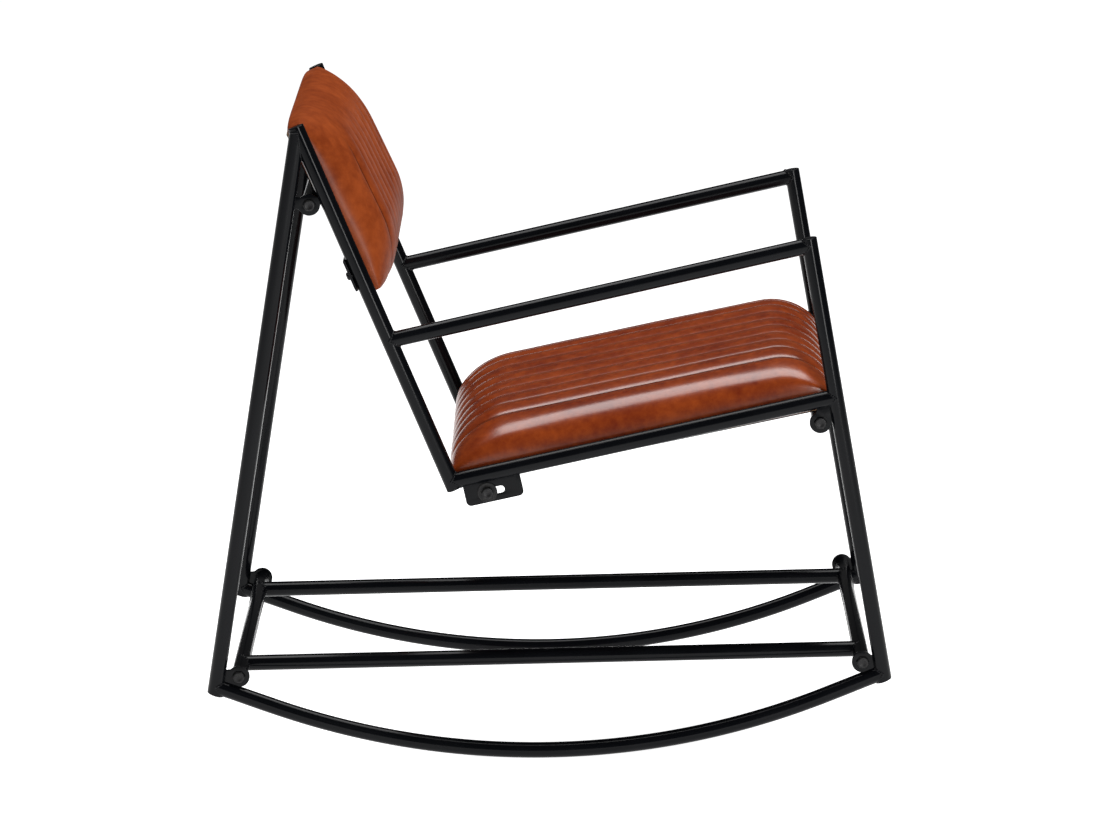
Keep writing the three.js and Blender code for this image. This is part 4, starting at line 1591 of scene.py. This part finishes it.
@dataclass
class Crossbars:
    """The five crossbars with their bolts and washers, the two low rails, and the strap."""

    plan: FramePlan
    bolt: FrameBolt = FrameBolt()
    washer: Washer = Washer()
    screw: PanScrew = PanScrew()
    bead: WeldBead = WeldBead(radius=0.0022)
    bar_rim: float = 0.0006
    strap_rim: float = 0.0006
    strap_corner: float = 0.004
    strap_screw_reach: float = 0.011
    seat_screw_inset: float = 0.1
    seat_screw_reach: float = 0.028
    back_screw_inset: float = 0.13
    back_screw_reach: float = 0.012

    def bars(self) -> dict[str, Vector]:
        """Bolt axes by the name of their crossbar."""
        plan = self.plan
        return {"top": plan.top_bolt, "seat_rear": plan.seat_rear_bolt,
                "seat_front": plan.seat_front_bolt, "low_rear": plan.low_rear_bolt,
                "low_front": plan.low_front_bolt}

    def tube(self, bolt: Vector) -> Tube:
        """A crossbar between the lugs of the two side frames.

        Args:
            bolt: The crossbar's axis, in the chair's middle plane.

        Returns:
            The crossbar.
        """
        half = self.plan.spacing / 2 - self.plan.lug_thickness / 2 - self.plan.clearance
        axis = Axis(bolt - SIDEWAYS * half, bolt + SIDEWAYS * half)
        return Tube(axis, self.plan.bar_radius, Cut(axis.start, SIDEWAYS, self.bar_rim),
                    Cut(axis.end, SIDEWAYS, self.bar_rim), across=UP)

    def fixings(self, name: str, bolt: Vector) -> None:
        """Makes the bolts at both ends of a crossbar, and the washers where it has them.

        Args:
            name: The crossbar's name.
            bolt: Its axis, in the chair's middle plane.
        """
        slotted = name == "seat_rear"
        for side in Side:
            outward = SIDEWAYS * side.value
            face = bolt + outward * (self.plan.spacing / 2 + self.plan.lug_thickness / 2)
            seat = face + outward * self.plan.clearance
            if slotted:
                washer = self.washer.surface().placed(facing(seat, outward, UP))
                make_piece(f"{side.word}_{name}_washer", washer, ZINC)
                seat = seat + outward * (self.washer.thickness + self.plan.clearance)
            fixing = self.bolt.surface().placed(facing(seat, outward, UP))
            make_piece(f"{side.word}_{name}_bolt", fixing, ZINC)

    def drive(self, name: str, spot: Vector, direction: Vector, reach: float) -> None:
        """Makes a screw with its bearing at a spot and its shank along a direction."""
        screw = self.screw.surface(reach).placed(facing(spot, direction, SIDEWAYS))
        make_piece(name, screw, ZINC)

    def low_rails(self) -> None:
        """Makes the two rails between the low crossbars, and their beads."""
        plan = self.plan
        beads = Surface()
        for side in Side:
            y = side.value * (plan.spacing / 2 - plan.low_rail_inset)
            axis = Axis(plan.low_rear_bolt, plan.low_front_bolt).shifted(y)
            ends = [Cope(Axis(bolt, bolt + SIDEWAYS), plan.bar_radius)
                    for bolt in (plan.low_rear_bolt, plan.low_front_bolt)]
            rail = Tube(axis, plan.radius, ends[0], ends[1])
            make_piece(f"{side.word}_low_rail", rail.surface(), COAT)
            beads.join(self.bead.round_end(rail, ends[0], -axis.direction))
            beads.join(self.bead.round_end(rail, ends[1], axis.direction))
        make_piece("low_rail_welds", beads, COAT)

    def strap(self) -> None:
        """Makes the strap and the screws that hold it to the posts."""
        plan = self.plan
        half = plan.spacing / 2 + plan.radius - plan.strap_end_inset
        high = plan.strap_width / 2
        cut = self.strap_corner
        outline = [(-half, high), (-half, cut - high), (cut - half, -high), (half - cut, -high),
                   (half, cut - high), (half, high)]
        turn = Matrix((-SIDEWAYS, plan.post_up, plan.post_front)).transposed().to_4x4()
        matrix = Matrix.Translation(plan.strap_middle) @ turn
        strap = Plate(outline, [], plan.strap_thickness, matrix, self.strap_rim)
        place_mesh(strap.mesh("back_strap"), COAT, "back_strap")
        low = plan.strap_middle - plan.post_front * (plan.strap_thickness / 2 + plan.clearance)
        for side in Side:
            self.drive(f"{side.word}_strap_screw", low + SIDEWAYS * side.value * plan.spacing / 2,
                       plan.post_front, self.strap_screw_reach)

    def pad_screws(self) -> None:
        """Makes the screws that hold the seat to its crossbars and the backrest to the strap."""
        plan = self.plan
        seat_normal = plan.seat_rest.to_3x3().col[2]
        back_normal = plan.back_rest.to_3x3().col[2]
        for side in Side:
            reach = side.value * (plan.spacing / 2 - self.seat_screw_inset)
            for name, bolt in (("seat_rear", plan.seat_rear_bolt), ("seat_front", plan.seat_front_bolt)):
                spot = bolt + SIDEWAYS * reach - seat_normal * (plan.bar_radius + plan.clearance)
                self.drive(f"{side.word}_{name}_screw", spot, seat_normal, self.seat_screw_reach)
            reach = side.value * (plan.spacing / 2 - self.back_screw_inset)
            spot = plan.strap_middle + SIDEWAYS * reach - back_normal * (
                plan.strap_thickness / 2 + plan.clearance)
            self.drive(f"{side.word}_back_screw", spot, back_normal, self.back_screw_reach)

    def build(self) -> None:
        """Makes the crossbars and all that is on them."""
        for name, bolt in self.bars().items():
            make_piece(f"{name}_crossbar", self.tube(bolt).surface(), COAT)
            self.fixings(name, bolt)
        self.low_rails()
        self.strap()
        self.pad_screws()


# Upholstery


def fall(distance: float, reach: float, power: float) -> float:
    """How far a crown has risen at a distance from the edge, as a share of its height."""
    left = max(0.0, 1 - distance / reach)
    return (1 - left * left) ** power


def smooth_step(low: float, high: float, value: float) -> float:
    """A soft step from 0 at low to 1 at high."""
    share = min(1.0, max(0.0, (value - low) / (high - low)))
    return share * share * (3 - 2 * share)


FOLD_ANGLE = math.radians(70)


@dataclass(frozen=True)
class Puffing:
    """How the wadding swells the leather between its seams, by cloth simulation."""

    pressure: float = 4.0
    frames: int = 20
    quality: int = 7
    stiffness: float = 20.0
    bending: float = 3.0
    mass: float = 0.35
    air_damping: float = 4.0
    most: float = 0.003

    def swell(self, surface: Surface, sewn: Sequence[float]) -> list[Vector]:
        """Lets a sheet swell.

        Args:
            surface: The sheet, with its faces out.
            sewn: How firmly each point is held, from 0 to 1.

        Returns:
            The points of the swollen sheet.
        """
        scene = bpy.context.scene
        mesh = surface.mesh("swelling")
        sheet = add_object(mesh.name, mesh)
        group = sheet.vertex_groups.new(name="sewn")
        for k, weight in enumerate(sewn):
            if weight > 0:
                group.add([k], weight, "REPLACE")
        cloth = sheet.modifiers.new("wadding", "CLOTH")
        settings = cloth.settings
        settings.quality = self.quality
        settings.mass = self.mass
        settings.air_damping = self.air_damping
        settings.tension_stiffness = self.stiffness
        settings.compression_stiffness = self.stiffness
        settings.shear_stiffness = self.stiffness / 2
        settings.bending_stiffness = self.bending
        settings.use_pressure = True
        settings.uniform_pressure_force = self.pressure
        settings.vertex_group_mass = "sewn"
        settings.effector_weights.gravity = 0
        cloth.collision_settings.use_collision = False
        cloth.point_cache.frame_start = 1
        cloth.point_cache.frame_end = self.frames
        for number in range(1, self.frames + 1):
            scene.frame_set(number)
        result = sheet.evaluated_get(bpy.context.evaluated_depsgraph_get())
        swollen = [vertex.co.copy() for vertex in result.data.vertices]
        scene.frame_set(1)
        bpy.data.objects.remove(sheet)
        bpy.data.meshes.remove(mesh)
        moved = []
        for before, after in zip(surface.points, swollen):
            step = after - before
            moved.append(before + step * min(1.0, self.most / max(step.length, TINY)))
        return moved


@dataclass(frozen=True)
class Lining:
    """The cloth below a pad, slack between its staples and folded under at its edge."""

    steps: int = 40
    inset: float = 0.011
    thickness: float = 0.0005
    lift: float = 0.0006
    slack: float = 0.0002
    slack_length: float = 0.05
    slack_edge_share: float = 0.12
    fold_depth: float = 0.0005
    fold_shares: tuple[float, float] = (0.04, 0.07)

    def height(self, spot: Vector, margin: float) -> float:
        """Height of the cloth's lower face above the pad's lower plane.

        Args:
            spot: The place in the plane.
            margin: The distance to the cloth's edge, as a share of its half size.

        Returns:
            The height.
        """
        edge = smooth_step(0.0, self.slack_edge_share, margin)
        slack = noise.noise(spot / self.slack_length) * self.slack * edge
        folded = self.fold_depth * (1 - smooth_step(*self.fold_shares, margin))
        return self.lift + slack - folded

    def surface(self, middle: float, half_length: float, half_width: float) -> Surface:
        """The cloth under a pad, with both of its faces.

        Args:
            middle: The middle of the pad's length.
            half_length: Half of the pad's length.
            half_width: Half of the pad's width.

        Returns:
            The closed surface.
        """
        half_x, half_y = half_length - self.inset, half_width - self.inset
        shares = [2 * k / self.steps - 1 for k in range(self.steps + 1)]
        surface = Surface()
        for layer in (0.0, 1.0):
            for u in shares:
                for v in shares:
                    spot = Vector((middle + u * half_x, v * half_y, 0))
                    height = self.height(spot, 1 - max(abs(u), abs(v)))
                    surface.points.append(spot + UP * (height + self.thickness * layer))
        row_size = len(shares)

        def corner(row: int, column: int, high: int) -> int:
            """The number of a point of the lower face (0) or of the upper one (1)."""
            return high * row_size * row_size + row * row_size + column

        for row in range(self.steps):
            for column in range(self.steps):
                for high in (0, 1):
                    surface.faces.append((corner(row, column, high), corner(row + 1, column, high),
                                          corner(row + 1, column + 1, high), corner(row, column + 1, high)))
        last = self.steps
        for k in range(last):
            for a, b in (((k, 0), (k + 1, 0)), ((k, last), (k + 1, last)),
                         ((0, k), (0, k + 1)), ((last, k), (last, k + 1))):
                surface.faces.append((corner(*a, 0), corner(*b, 0), corner(*b, 1), corner(*a, 1)))
        return surface


@dataclass
class Cushion:
    """A pad: leather sewn in channels over foam and a board, with a lining stapled below.

    In its own frame X runs along the pad, Y across it and Z out of it. Overhangs are past the axis
    of the crossbar at x = 0, and rounds are how far the crown falls away towards an edge.
    """

    name: str
    place: Matrix
    leather: Finish
    start: float
    end: float
    height: float
    skirt: float
    start_round: float
    end_round: float
    side_round: float
    half_width: float
    plain_start: float = 0.0
    border: float = 0.0595
    channels: int = 8
    channel_depth: float = 0.0034
    border_groove: float = 0.02
    end_power: float = 0.65
    side_power: float = 0.5
    corner_pull: float = 0.0045
    corner_power: float = 7.0
    draw: float = 0.003
    draw_power: float = 5.0
    puff_power: float = 0.5
    border_power: float = 0.6
    seam_fade_shares: tuple[float, float] = (0.6, 1.3)
    seam_foot_share: float = 1.2
    length_steps: int = 112
    channel_steps: int = 8
    border_steps: int = 14
    wall_steps: int = 8
    wall_power: float = 1.6
    end_zone: float = 0.01
    tuck_height: float = 0.007
    tuck_depth: float = 0.017
    held_share: float = 0.6
    hem: float = 0.021
    hem_step: float = 0.001
    hem_heights: tuple[float, float, float] = (0.0002, 0.00072, 0.0012)
    board_inset: float = 0.0086
    board_top: float = 0.0138
    unevenness: float = 0.0005
    wave_length: float = 0.07
    wave_shift: float = 9.0
    side_play: float = 0.0004
    # How far the painted shade reaches: up from the hem's fold, and out from each seam
    fold_start: float = 0.001
    fold_reach: float = 0.002
    puffing: Puffing = Puffing()
    lining: Lining = Lining()
    fill: float = 0.75

    @property
    def half(self) -> float:
        """Half the pad's length."""
        return (self.end - self.start) / 2

    @property
    def middle(self) -> float:
        """The middle of the pad's length."""
        return (self.start + self.end) / 2

    @property
    def seam_limit(self) -> float:
        """From the middle to the outermost seam."""
        return self.half_width - self.border

    @property
    def pitch(self) -> float:
        """Width of a channel."""
        return 2 * self.seam_limit / self.channels

    @cached_property
    def stations(self) -> list[float]:
        """Places across the pad, close together at the seams and at the edges."""
        outer = [self.half_width - self.border * (1 - math.cos(k / self.border_steps * math.pi / 2))
                 for k in range(self.border_steps)]
        shares = [(1 - math.cos(math.pi * k / self.channel_steps)) / 2 for k in range(self.channel_steps)]
        inner = [-self.seam_limit + self.pitch * (channel + share)
                 for channel in range(self.channels) for share in shares]
        return [-y for y in outer] + inner + [self.seam_limit] + outer[::-1]

    @cached_property
    def ends(self) -> list[float]:
        """Places along the pad, from -1 to 1, close together at its ends."""
        return [math.sin(math.pi * (k / self.length_steps - 0.5)) for k in range(self.length_steps + 1)]

    def crown(self, endward: float, y: float) -> Vector:
        """A point of the plain crown, before it is sewn.

        Args:
            endward: The place along the pad, from -1 to 1.
            y: The place across the pad.

        Returns:
            The point.
        """
        sideward = y / self.half_width
        pull = (self.corner_pull * abs(endward) ** self.corner_power
                + self.draw * (1 - endward * endward))
        spot_x = endward * (self.half - self.corner_pull * abs(sideward) ** self.corner_power)
        spot_y = sideward * (self.half_width - pull * abs(sideward) ** self.draw_power)
        swell = (fall(self.half * (1 + endward), self.start_round, self.end_power)
                 * fall(self.half * (1 - endward), self.end_round, self.end_power)
                 * fall(self.half_width * (1 - abs(sideward)), self.side_round, self.side_power))
        rise = (self.height - self.skirt) * swell
        return Vector((self.middle + spot_x, spot_y, self.skirt + rise))

    def puff(self, y: float) -> float:
        """How far the leather stands out between its seams.

        Args:
            y: The place across the pad.

        Returns:
            A share from 0 at a seam to 1.
        """
        if abs(y) < self.seam_limit:
            return abs(math.sin(math.pi * (y + self.seam_limit) / self.pitch)) ** self.puff_power
        return fall(abs(y) - self.seam_limit, self.border_groove, self.border_power)

    def seam_distance(self, y: float) -> float:
        """From a place across the pad to the nearest seam.

        Args:
            y: The place across the pad.

        Returns:
            The distance.
        """
        if abs(y) >= self.seam_limit:
            return abs(y) - self.seam_limit
        past = (y + self.seam_limit) % self.pitch
        return min(past, self.pitch - past)

    def is_seam(self, column: int) -> bool:
        """Whether a column of the grid lies on a seam."""
        inner = column - self.border_steps
        return 0 <= inner <= self.channels * self.channel_steps and inner % self.channel_steps == 0

    def loop(self) -> list[int]:
        """The top sheet's points along its edge, in order."""
        rows, columns = self.length_steps + 1, len(self.stations)
        return ([column for column in range(columns)]
                + [row * columns + columns - 1 for row in range(1, rows)]
                + [(rows - 1) * columns + column for column in range(columns - 2, -1, -1)]
                + [row * columns for row in range(rows - 2, 0, -1)])

    def sewn_share(self, x: float, z: float) -> float:
        """How deep the seams are at a place of the pad's length and height.

        Args:
            x: The place along the pad.
            z: The height.

        Returns:
            A share from 0 to 1.
        """
        shown = 1.0
        if self.plain_start:
            low, high = (self.start + self.plain_start * share for share in self.seam_fade_shares)
            shown = smooth_step(low, high, x)
        return shown * smooth_step(0.0, self.skirt * self.seam_foot_share, z)

    def sheet(self) -> tuple[Surface, list[float], list[float]]:
        """The leather from one lower edge over the top to the other.

        Returns:
            The sheet, how firmly each of its points is held, and each point's place across the pad.
        """
        columns = len(self.stations)
        points = [self.crown(endward, y) for endward in self.ends for y in self.stations]
        across = [y for _ in self.ends for y in self.stations]
        seams = [self.is_seam(column) for _ in self.ends for column in range(columns)]
        faces = [(row * columns + k, (row + 1) * columns + k,
                  (row + 1) * columns + k + 1, row * columns + k + 1)
                 for row in range(self.length_steps) for k in range(columns - 1)]
        edge = self.loop()
        upper = edge
        middle = Vector((self.middle, 0, 0))
        for step in range(1, self.wall_steps + 1):
            sink = self.skirt * (1 - (1 - step / self.wall_steps) ** self.wall_power)
            turn = max(0.0, sink - self.skirt + self.tuck_height) / self.tuck_height
            inset = self.tuck_depth * (1 - math.sqrt(max(0.0, 1 - turn * turn)))
            first = len(points)
            for k in edge:
                base = points[k]
                flat_offset = Vector((base.x - middle.x, base.y, 0))
                scale = Vector((1 - inset / self.half, 1 - inset / self.half_width, 0))
                points.append(Vector((middle.x + flat_offset.x * scale.x, flat_offset.y * scale.y,
                                      base.z - sink)))
                across.append(across[k])
                seams.append(seams[k] and abs(abs(base.x - middle.x) - self.half) < self.end_zone)
            lower = list(range(first, first + len(edge)))
            count = len(edge)
            faces.extend((upper[k], upper[(k + 1) % count], lower[(k + 1) % count], lower[k])
                         for k in range(count))
            upper = lower
        surface = Surface(points, faces)
        return (*self.sewn(surface, across, seams), across)

    def sewn(self, surface: Surface, across: list[float], seams: list[bool]) -> tuple[Surface, list[float]]:
        """Sinks the seams into a sheet.

        Args:
            surface: The plain sheet.
            across: Each point's place across the pad, before it was drawn in.
            seams: Whether each point lies on a seam.

        Returns:
            The sheet with its channels, and how firmly each point is held.
        """
        work = bmesh.new()
        mesh = surface.mesh("sheet")
        work.from_mesh(mesh)
        bmesh.ops.recalc_face_normals(work, faces=work.faces)
        if sum(face.normal.z for face in work.faces) < 0:
            bmesh.ops.reverse_faces(work, faces=work.faces)
        work.normal_update()
        normals = [vertex.normal.copy() for vertex in work.verts]
        faces = [tuple(vertex.index for vertex in face.verts) for face in work.faces]
        work.free()
        bpy.data.meshes.remove(mesh)
        points = []
        held = []
        for base, normal, y, seam in zip(surface.points, normals, across, seams):
            share = self.sewn_share(base.x, base.z)
            dip = self.channel_depth * (1 - self.puff(y)) * share
            place = base / self.wave_length + FORWARD * self.half * self.wave_shift
            wave = noise.noise(place) * self.unevenness * smooth_step(0.0, self.skirt, base.z)
            points.append(base - normal * (dip - wave))
            low_share = 1 - smooth_step(0.0, self.skirt * self.held_share, base.z)
            held.append(max(share if seam else 0.0, low_share))
        return Surface(points, faces), held

    def cover(self) -> tuple[Surface, list[float]]:
        """The sewn sheet after the wadding has swollen it.

        Returns:
            The open sheet, and how deep each of its points lies in a seam or under the tuck, which sets the
            shade painted there.
        """
        sheet, held, across = self.sheet()
        sheet.points = self.puffing.swell(sheet, held)
        limit = self.half_width + self.side_play
        for point in sheet.points:
            point.y = max(-limit, min(limit, point.y))
        # Painted shade: dark in the seams, and on the leather that tucks under the pad
        valley = []
        for point, y in zip(sheet.points, across):
            folded = 1 - smooth_step(self.fold_start, self.tuck_height, point.z)
            sewn = 1 - smooth_step(0.0, self.fold_reach, self.seam_distance(y))
            valley.append(max(folded, self.sewn_share(point.x, point.z) * sewn))
        return sheet, valley

    def fold_under(self, mesh: bpy.types.Mesh) -> None:
        """Adds the folded hem and the recess that holds the board.

        Args:
            mesh: The open sheet, which is changed.
        """
        work = bmesh.new()
        work.from_mesh(mesh)
        before = self.tuck_depth
        insets = (self.hem, self.hem + self.hem_step, self.board_inset, self.board_inset)
        for inset, z in zip(insets, (*self.hem_heights, self.board_top)):
            edges = [edge for edge in work.edges if edge.is_boundary]
            made = bmesh.ops.extrude_edge_only(work, edges=edges)["geom"]
            share_x = (self.half - inset) / (self.half - before)
            share_y = (self.half_width - inset) / (self.half_width - before)
            for vertex in (item for item in made if isinstance(item, bmesh.types.BMVert)):
                along = self.middle + (vertex.co.x - self.middle) * share_x
                vertex.co = (along, vertex.co.y * share_y, z)
            before = inset
        bmesh.ops.edgeloop_fill(work, edges=[edge for edge in work.edges if edge.is_boundary])
        bmesh.ops.recalc_face_normals(work, faces=work.faces)
        work.to_mesh(mesh)
        work.free()

    def make_cover(self) -> None:
        """Makes the leather cover: the swollen sheet smoothed once, then folded under."""
        surface, valley = self.cover()
        mesh = surface.mesh(f"{self.name}_cover")
        # Stores the painted shade, which also thins the wax
        shade = mesh.attributes.new(PAINTED_SHADE_AND_WAX, "FLOAT", "POINT")
        shade.data.foreach_set("value", valley)
        piece = add_object(mesh.name, mesh)
        piece.modifiers.new("smooth", "SUBSURF").levels = 1
        smooth = piece.evaluated_get(bpy.context.evaluated_depsgraph_get())
        piece.data = bpy.data.meshes.new_from_object(smooth)
        piece.data.name = piece.name
        piece.modifiers.clear()
        self.fold_under(piece.data)
        piece.data.transform(self.place)
        piece.data.shade_smooth()
        piece.data.set_sharp_from_angle(angle=FOLD_ANGLE)
        settle(piece, self.leather, [f"{self.name}_cover", f"{self.name}_foam"])

    def build(self) -> None:
        """Makes the pad's pieces."""
        self.make_cover()
        cloth = self.lining.surface(self.middle, self.half, self.half_width)
        make_piece(f"{self.name}_lining", cloth.placed(self.place), CAMBRIC)
        settle(frame["nodes"][f"{self.name}_board"], PLYWOOD)


# Studio


@dataclass(frozen=True)
class SoftBox:
    """A soft studio light that points at a target."""

    name: str
    place: Vector
    target: Vector
    width: float
    height: float
    watts: float

    def build(self) -> None:
        """Makes the light."""
        lamp = bpy.data.lights.new(self.name, "AREA")
        lamp.shape = "RECTANGLE"
        lamp.size = self.width
        lamp.size_y = self.height
        lamp.energy = self.watts
        light = add_object(self.name, lamp)
        light.location = self.place
        light.rotation_euler = (self.target - self.place).to_track_quat("-Z", "Y").to_euler()


@dataclass(frozen=True)
class Studio:
    """White floor, soft light, and the camera at the photo's angle."""

    camera_place: Vector = Vector((0.0246, -6.447, 1.739))
    yaw: float = 0.22
    pitch: float = 11.96
    sensor: float = 36.0
    lens: float = 174.14
    view_reach: float = 100.0
    floor_reach: float = 80.0
    floor_colour: str = "#f4f4f4"
    floor_glow: float = 0.95
    sky: float = 0.05

    def floor(self) -> None:
        """Makes the floor, a pale sheet with light of its own."""
        reach = self.floor_reach
        corners = [Vector((x * reach, y * reach, 0)) for x, y in ((-1, -1), (1, -1), (1, 1), (-1, 1))]
        mesh = Surface(corners, [(0, 1, 2, 3)]).mesh("studio_floor")
        floor = add_object(mesh.name, mesh)
        material = bpy.data.materials.new("white_paper_sweep")
        material.use_nodes = True
        shader = material.node_tree.nodes["Principled BSDF"]
        set_inputs(shader, {"Base Color": linear(self.floor_colour), "Roughness": 0.9,
                            "Specular IOR Level": 0.0, "Emission Color": linear("#ffffff"),
                            "Emission Strength": self.floor_glow})
        mesh.materials.append(material)

    def world(self) -> None:
        """Sets the dim light of the room round the lamps."""
        world = bpy.data.worlds.new("studio_room")
        world.use_nodes = True
        set_inputs(world.node_tree.nodes["Background"], {"Color": (1, 1, 1, 1), "Strength": self.sky})
        bpy.context.scene.world = world

    def camera(self) -> None:
        """Makes the camera."""
        lens = bpy.data.cameras.new("camera")
        lens.sensor_width = self.sensor
        lens.lens = self.lens
        lens.clip_end = self.view_reach
        camera = add_object("camera", lens)
        camera.location = self.camera_place
        camera.rotation_euler = (math.radians(90 - self.pitch), 0, math.radians(self.yaw))
        bpy.context.scene.camera = camera

    def build(self) -> None:
        """Makes the studio."""
        self.camera()
        self.floor()
        self.world()
        chair = Vector((0, 0, 0.4))
        SoftBox("overhead_box", place=Vector((0, 0.4, 3.3)), target=chair, width=2.6, height=1.9,
                watts=108).build()
        SoftBox("right_box", place=Vector((1.6, -3.5, 1.3)), target=chair, width=0.8, height=2.2,
                watts=70).build()
        bpy.context.scene.view_settings.view_transform = "Standard"


# Between a pad's side and the tube beside it
PAD_GAP = 0.001


def main() -> None:
    """Builds the studio and the chair."""
    logging.basicConfig(level=logging.INFO, format="%(name)s: %(message)s")
    Studio().build()
    rests = {mount["name"]: mount["pos_m"] for mount in frame["record"]["mounts"]}
    plan = FramePlan(origin_x=rests["right_rocker_rest"][0])
    for side in Side:
        SideFrame(plan, side).build()
    Crossbars(plan).build()
    half_width = plan.spacing / 2 - plan.radius - PAD_GAP
    Cushion("seat", plan.seat_rest, SEAT_LEATHER, start=-0.041, end=0.429, height=0.0723, skirt=0.02,
            start_round=0.08, end_round=0.065, side_round=0.12, side_power=0.29, half_width=half_width,
            channel_depth=0.0045).build()
    Cushion("back", plan.back_rest, BACK_LEATHER, start=-0.095, end=0.133, height=0.0625, skirt=0.02,
            start_round=0.085, end_round=0.075, side_round=0.1, half_width=half_width,
            plain_start=0.07, length_steps=64).build()


if __name__ == "__main__":
    main()
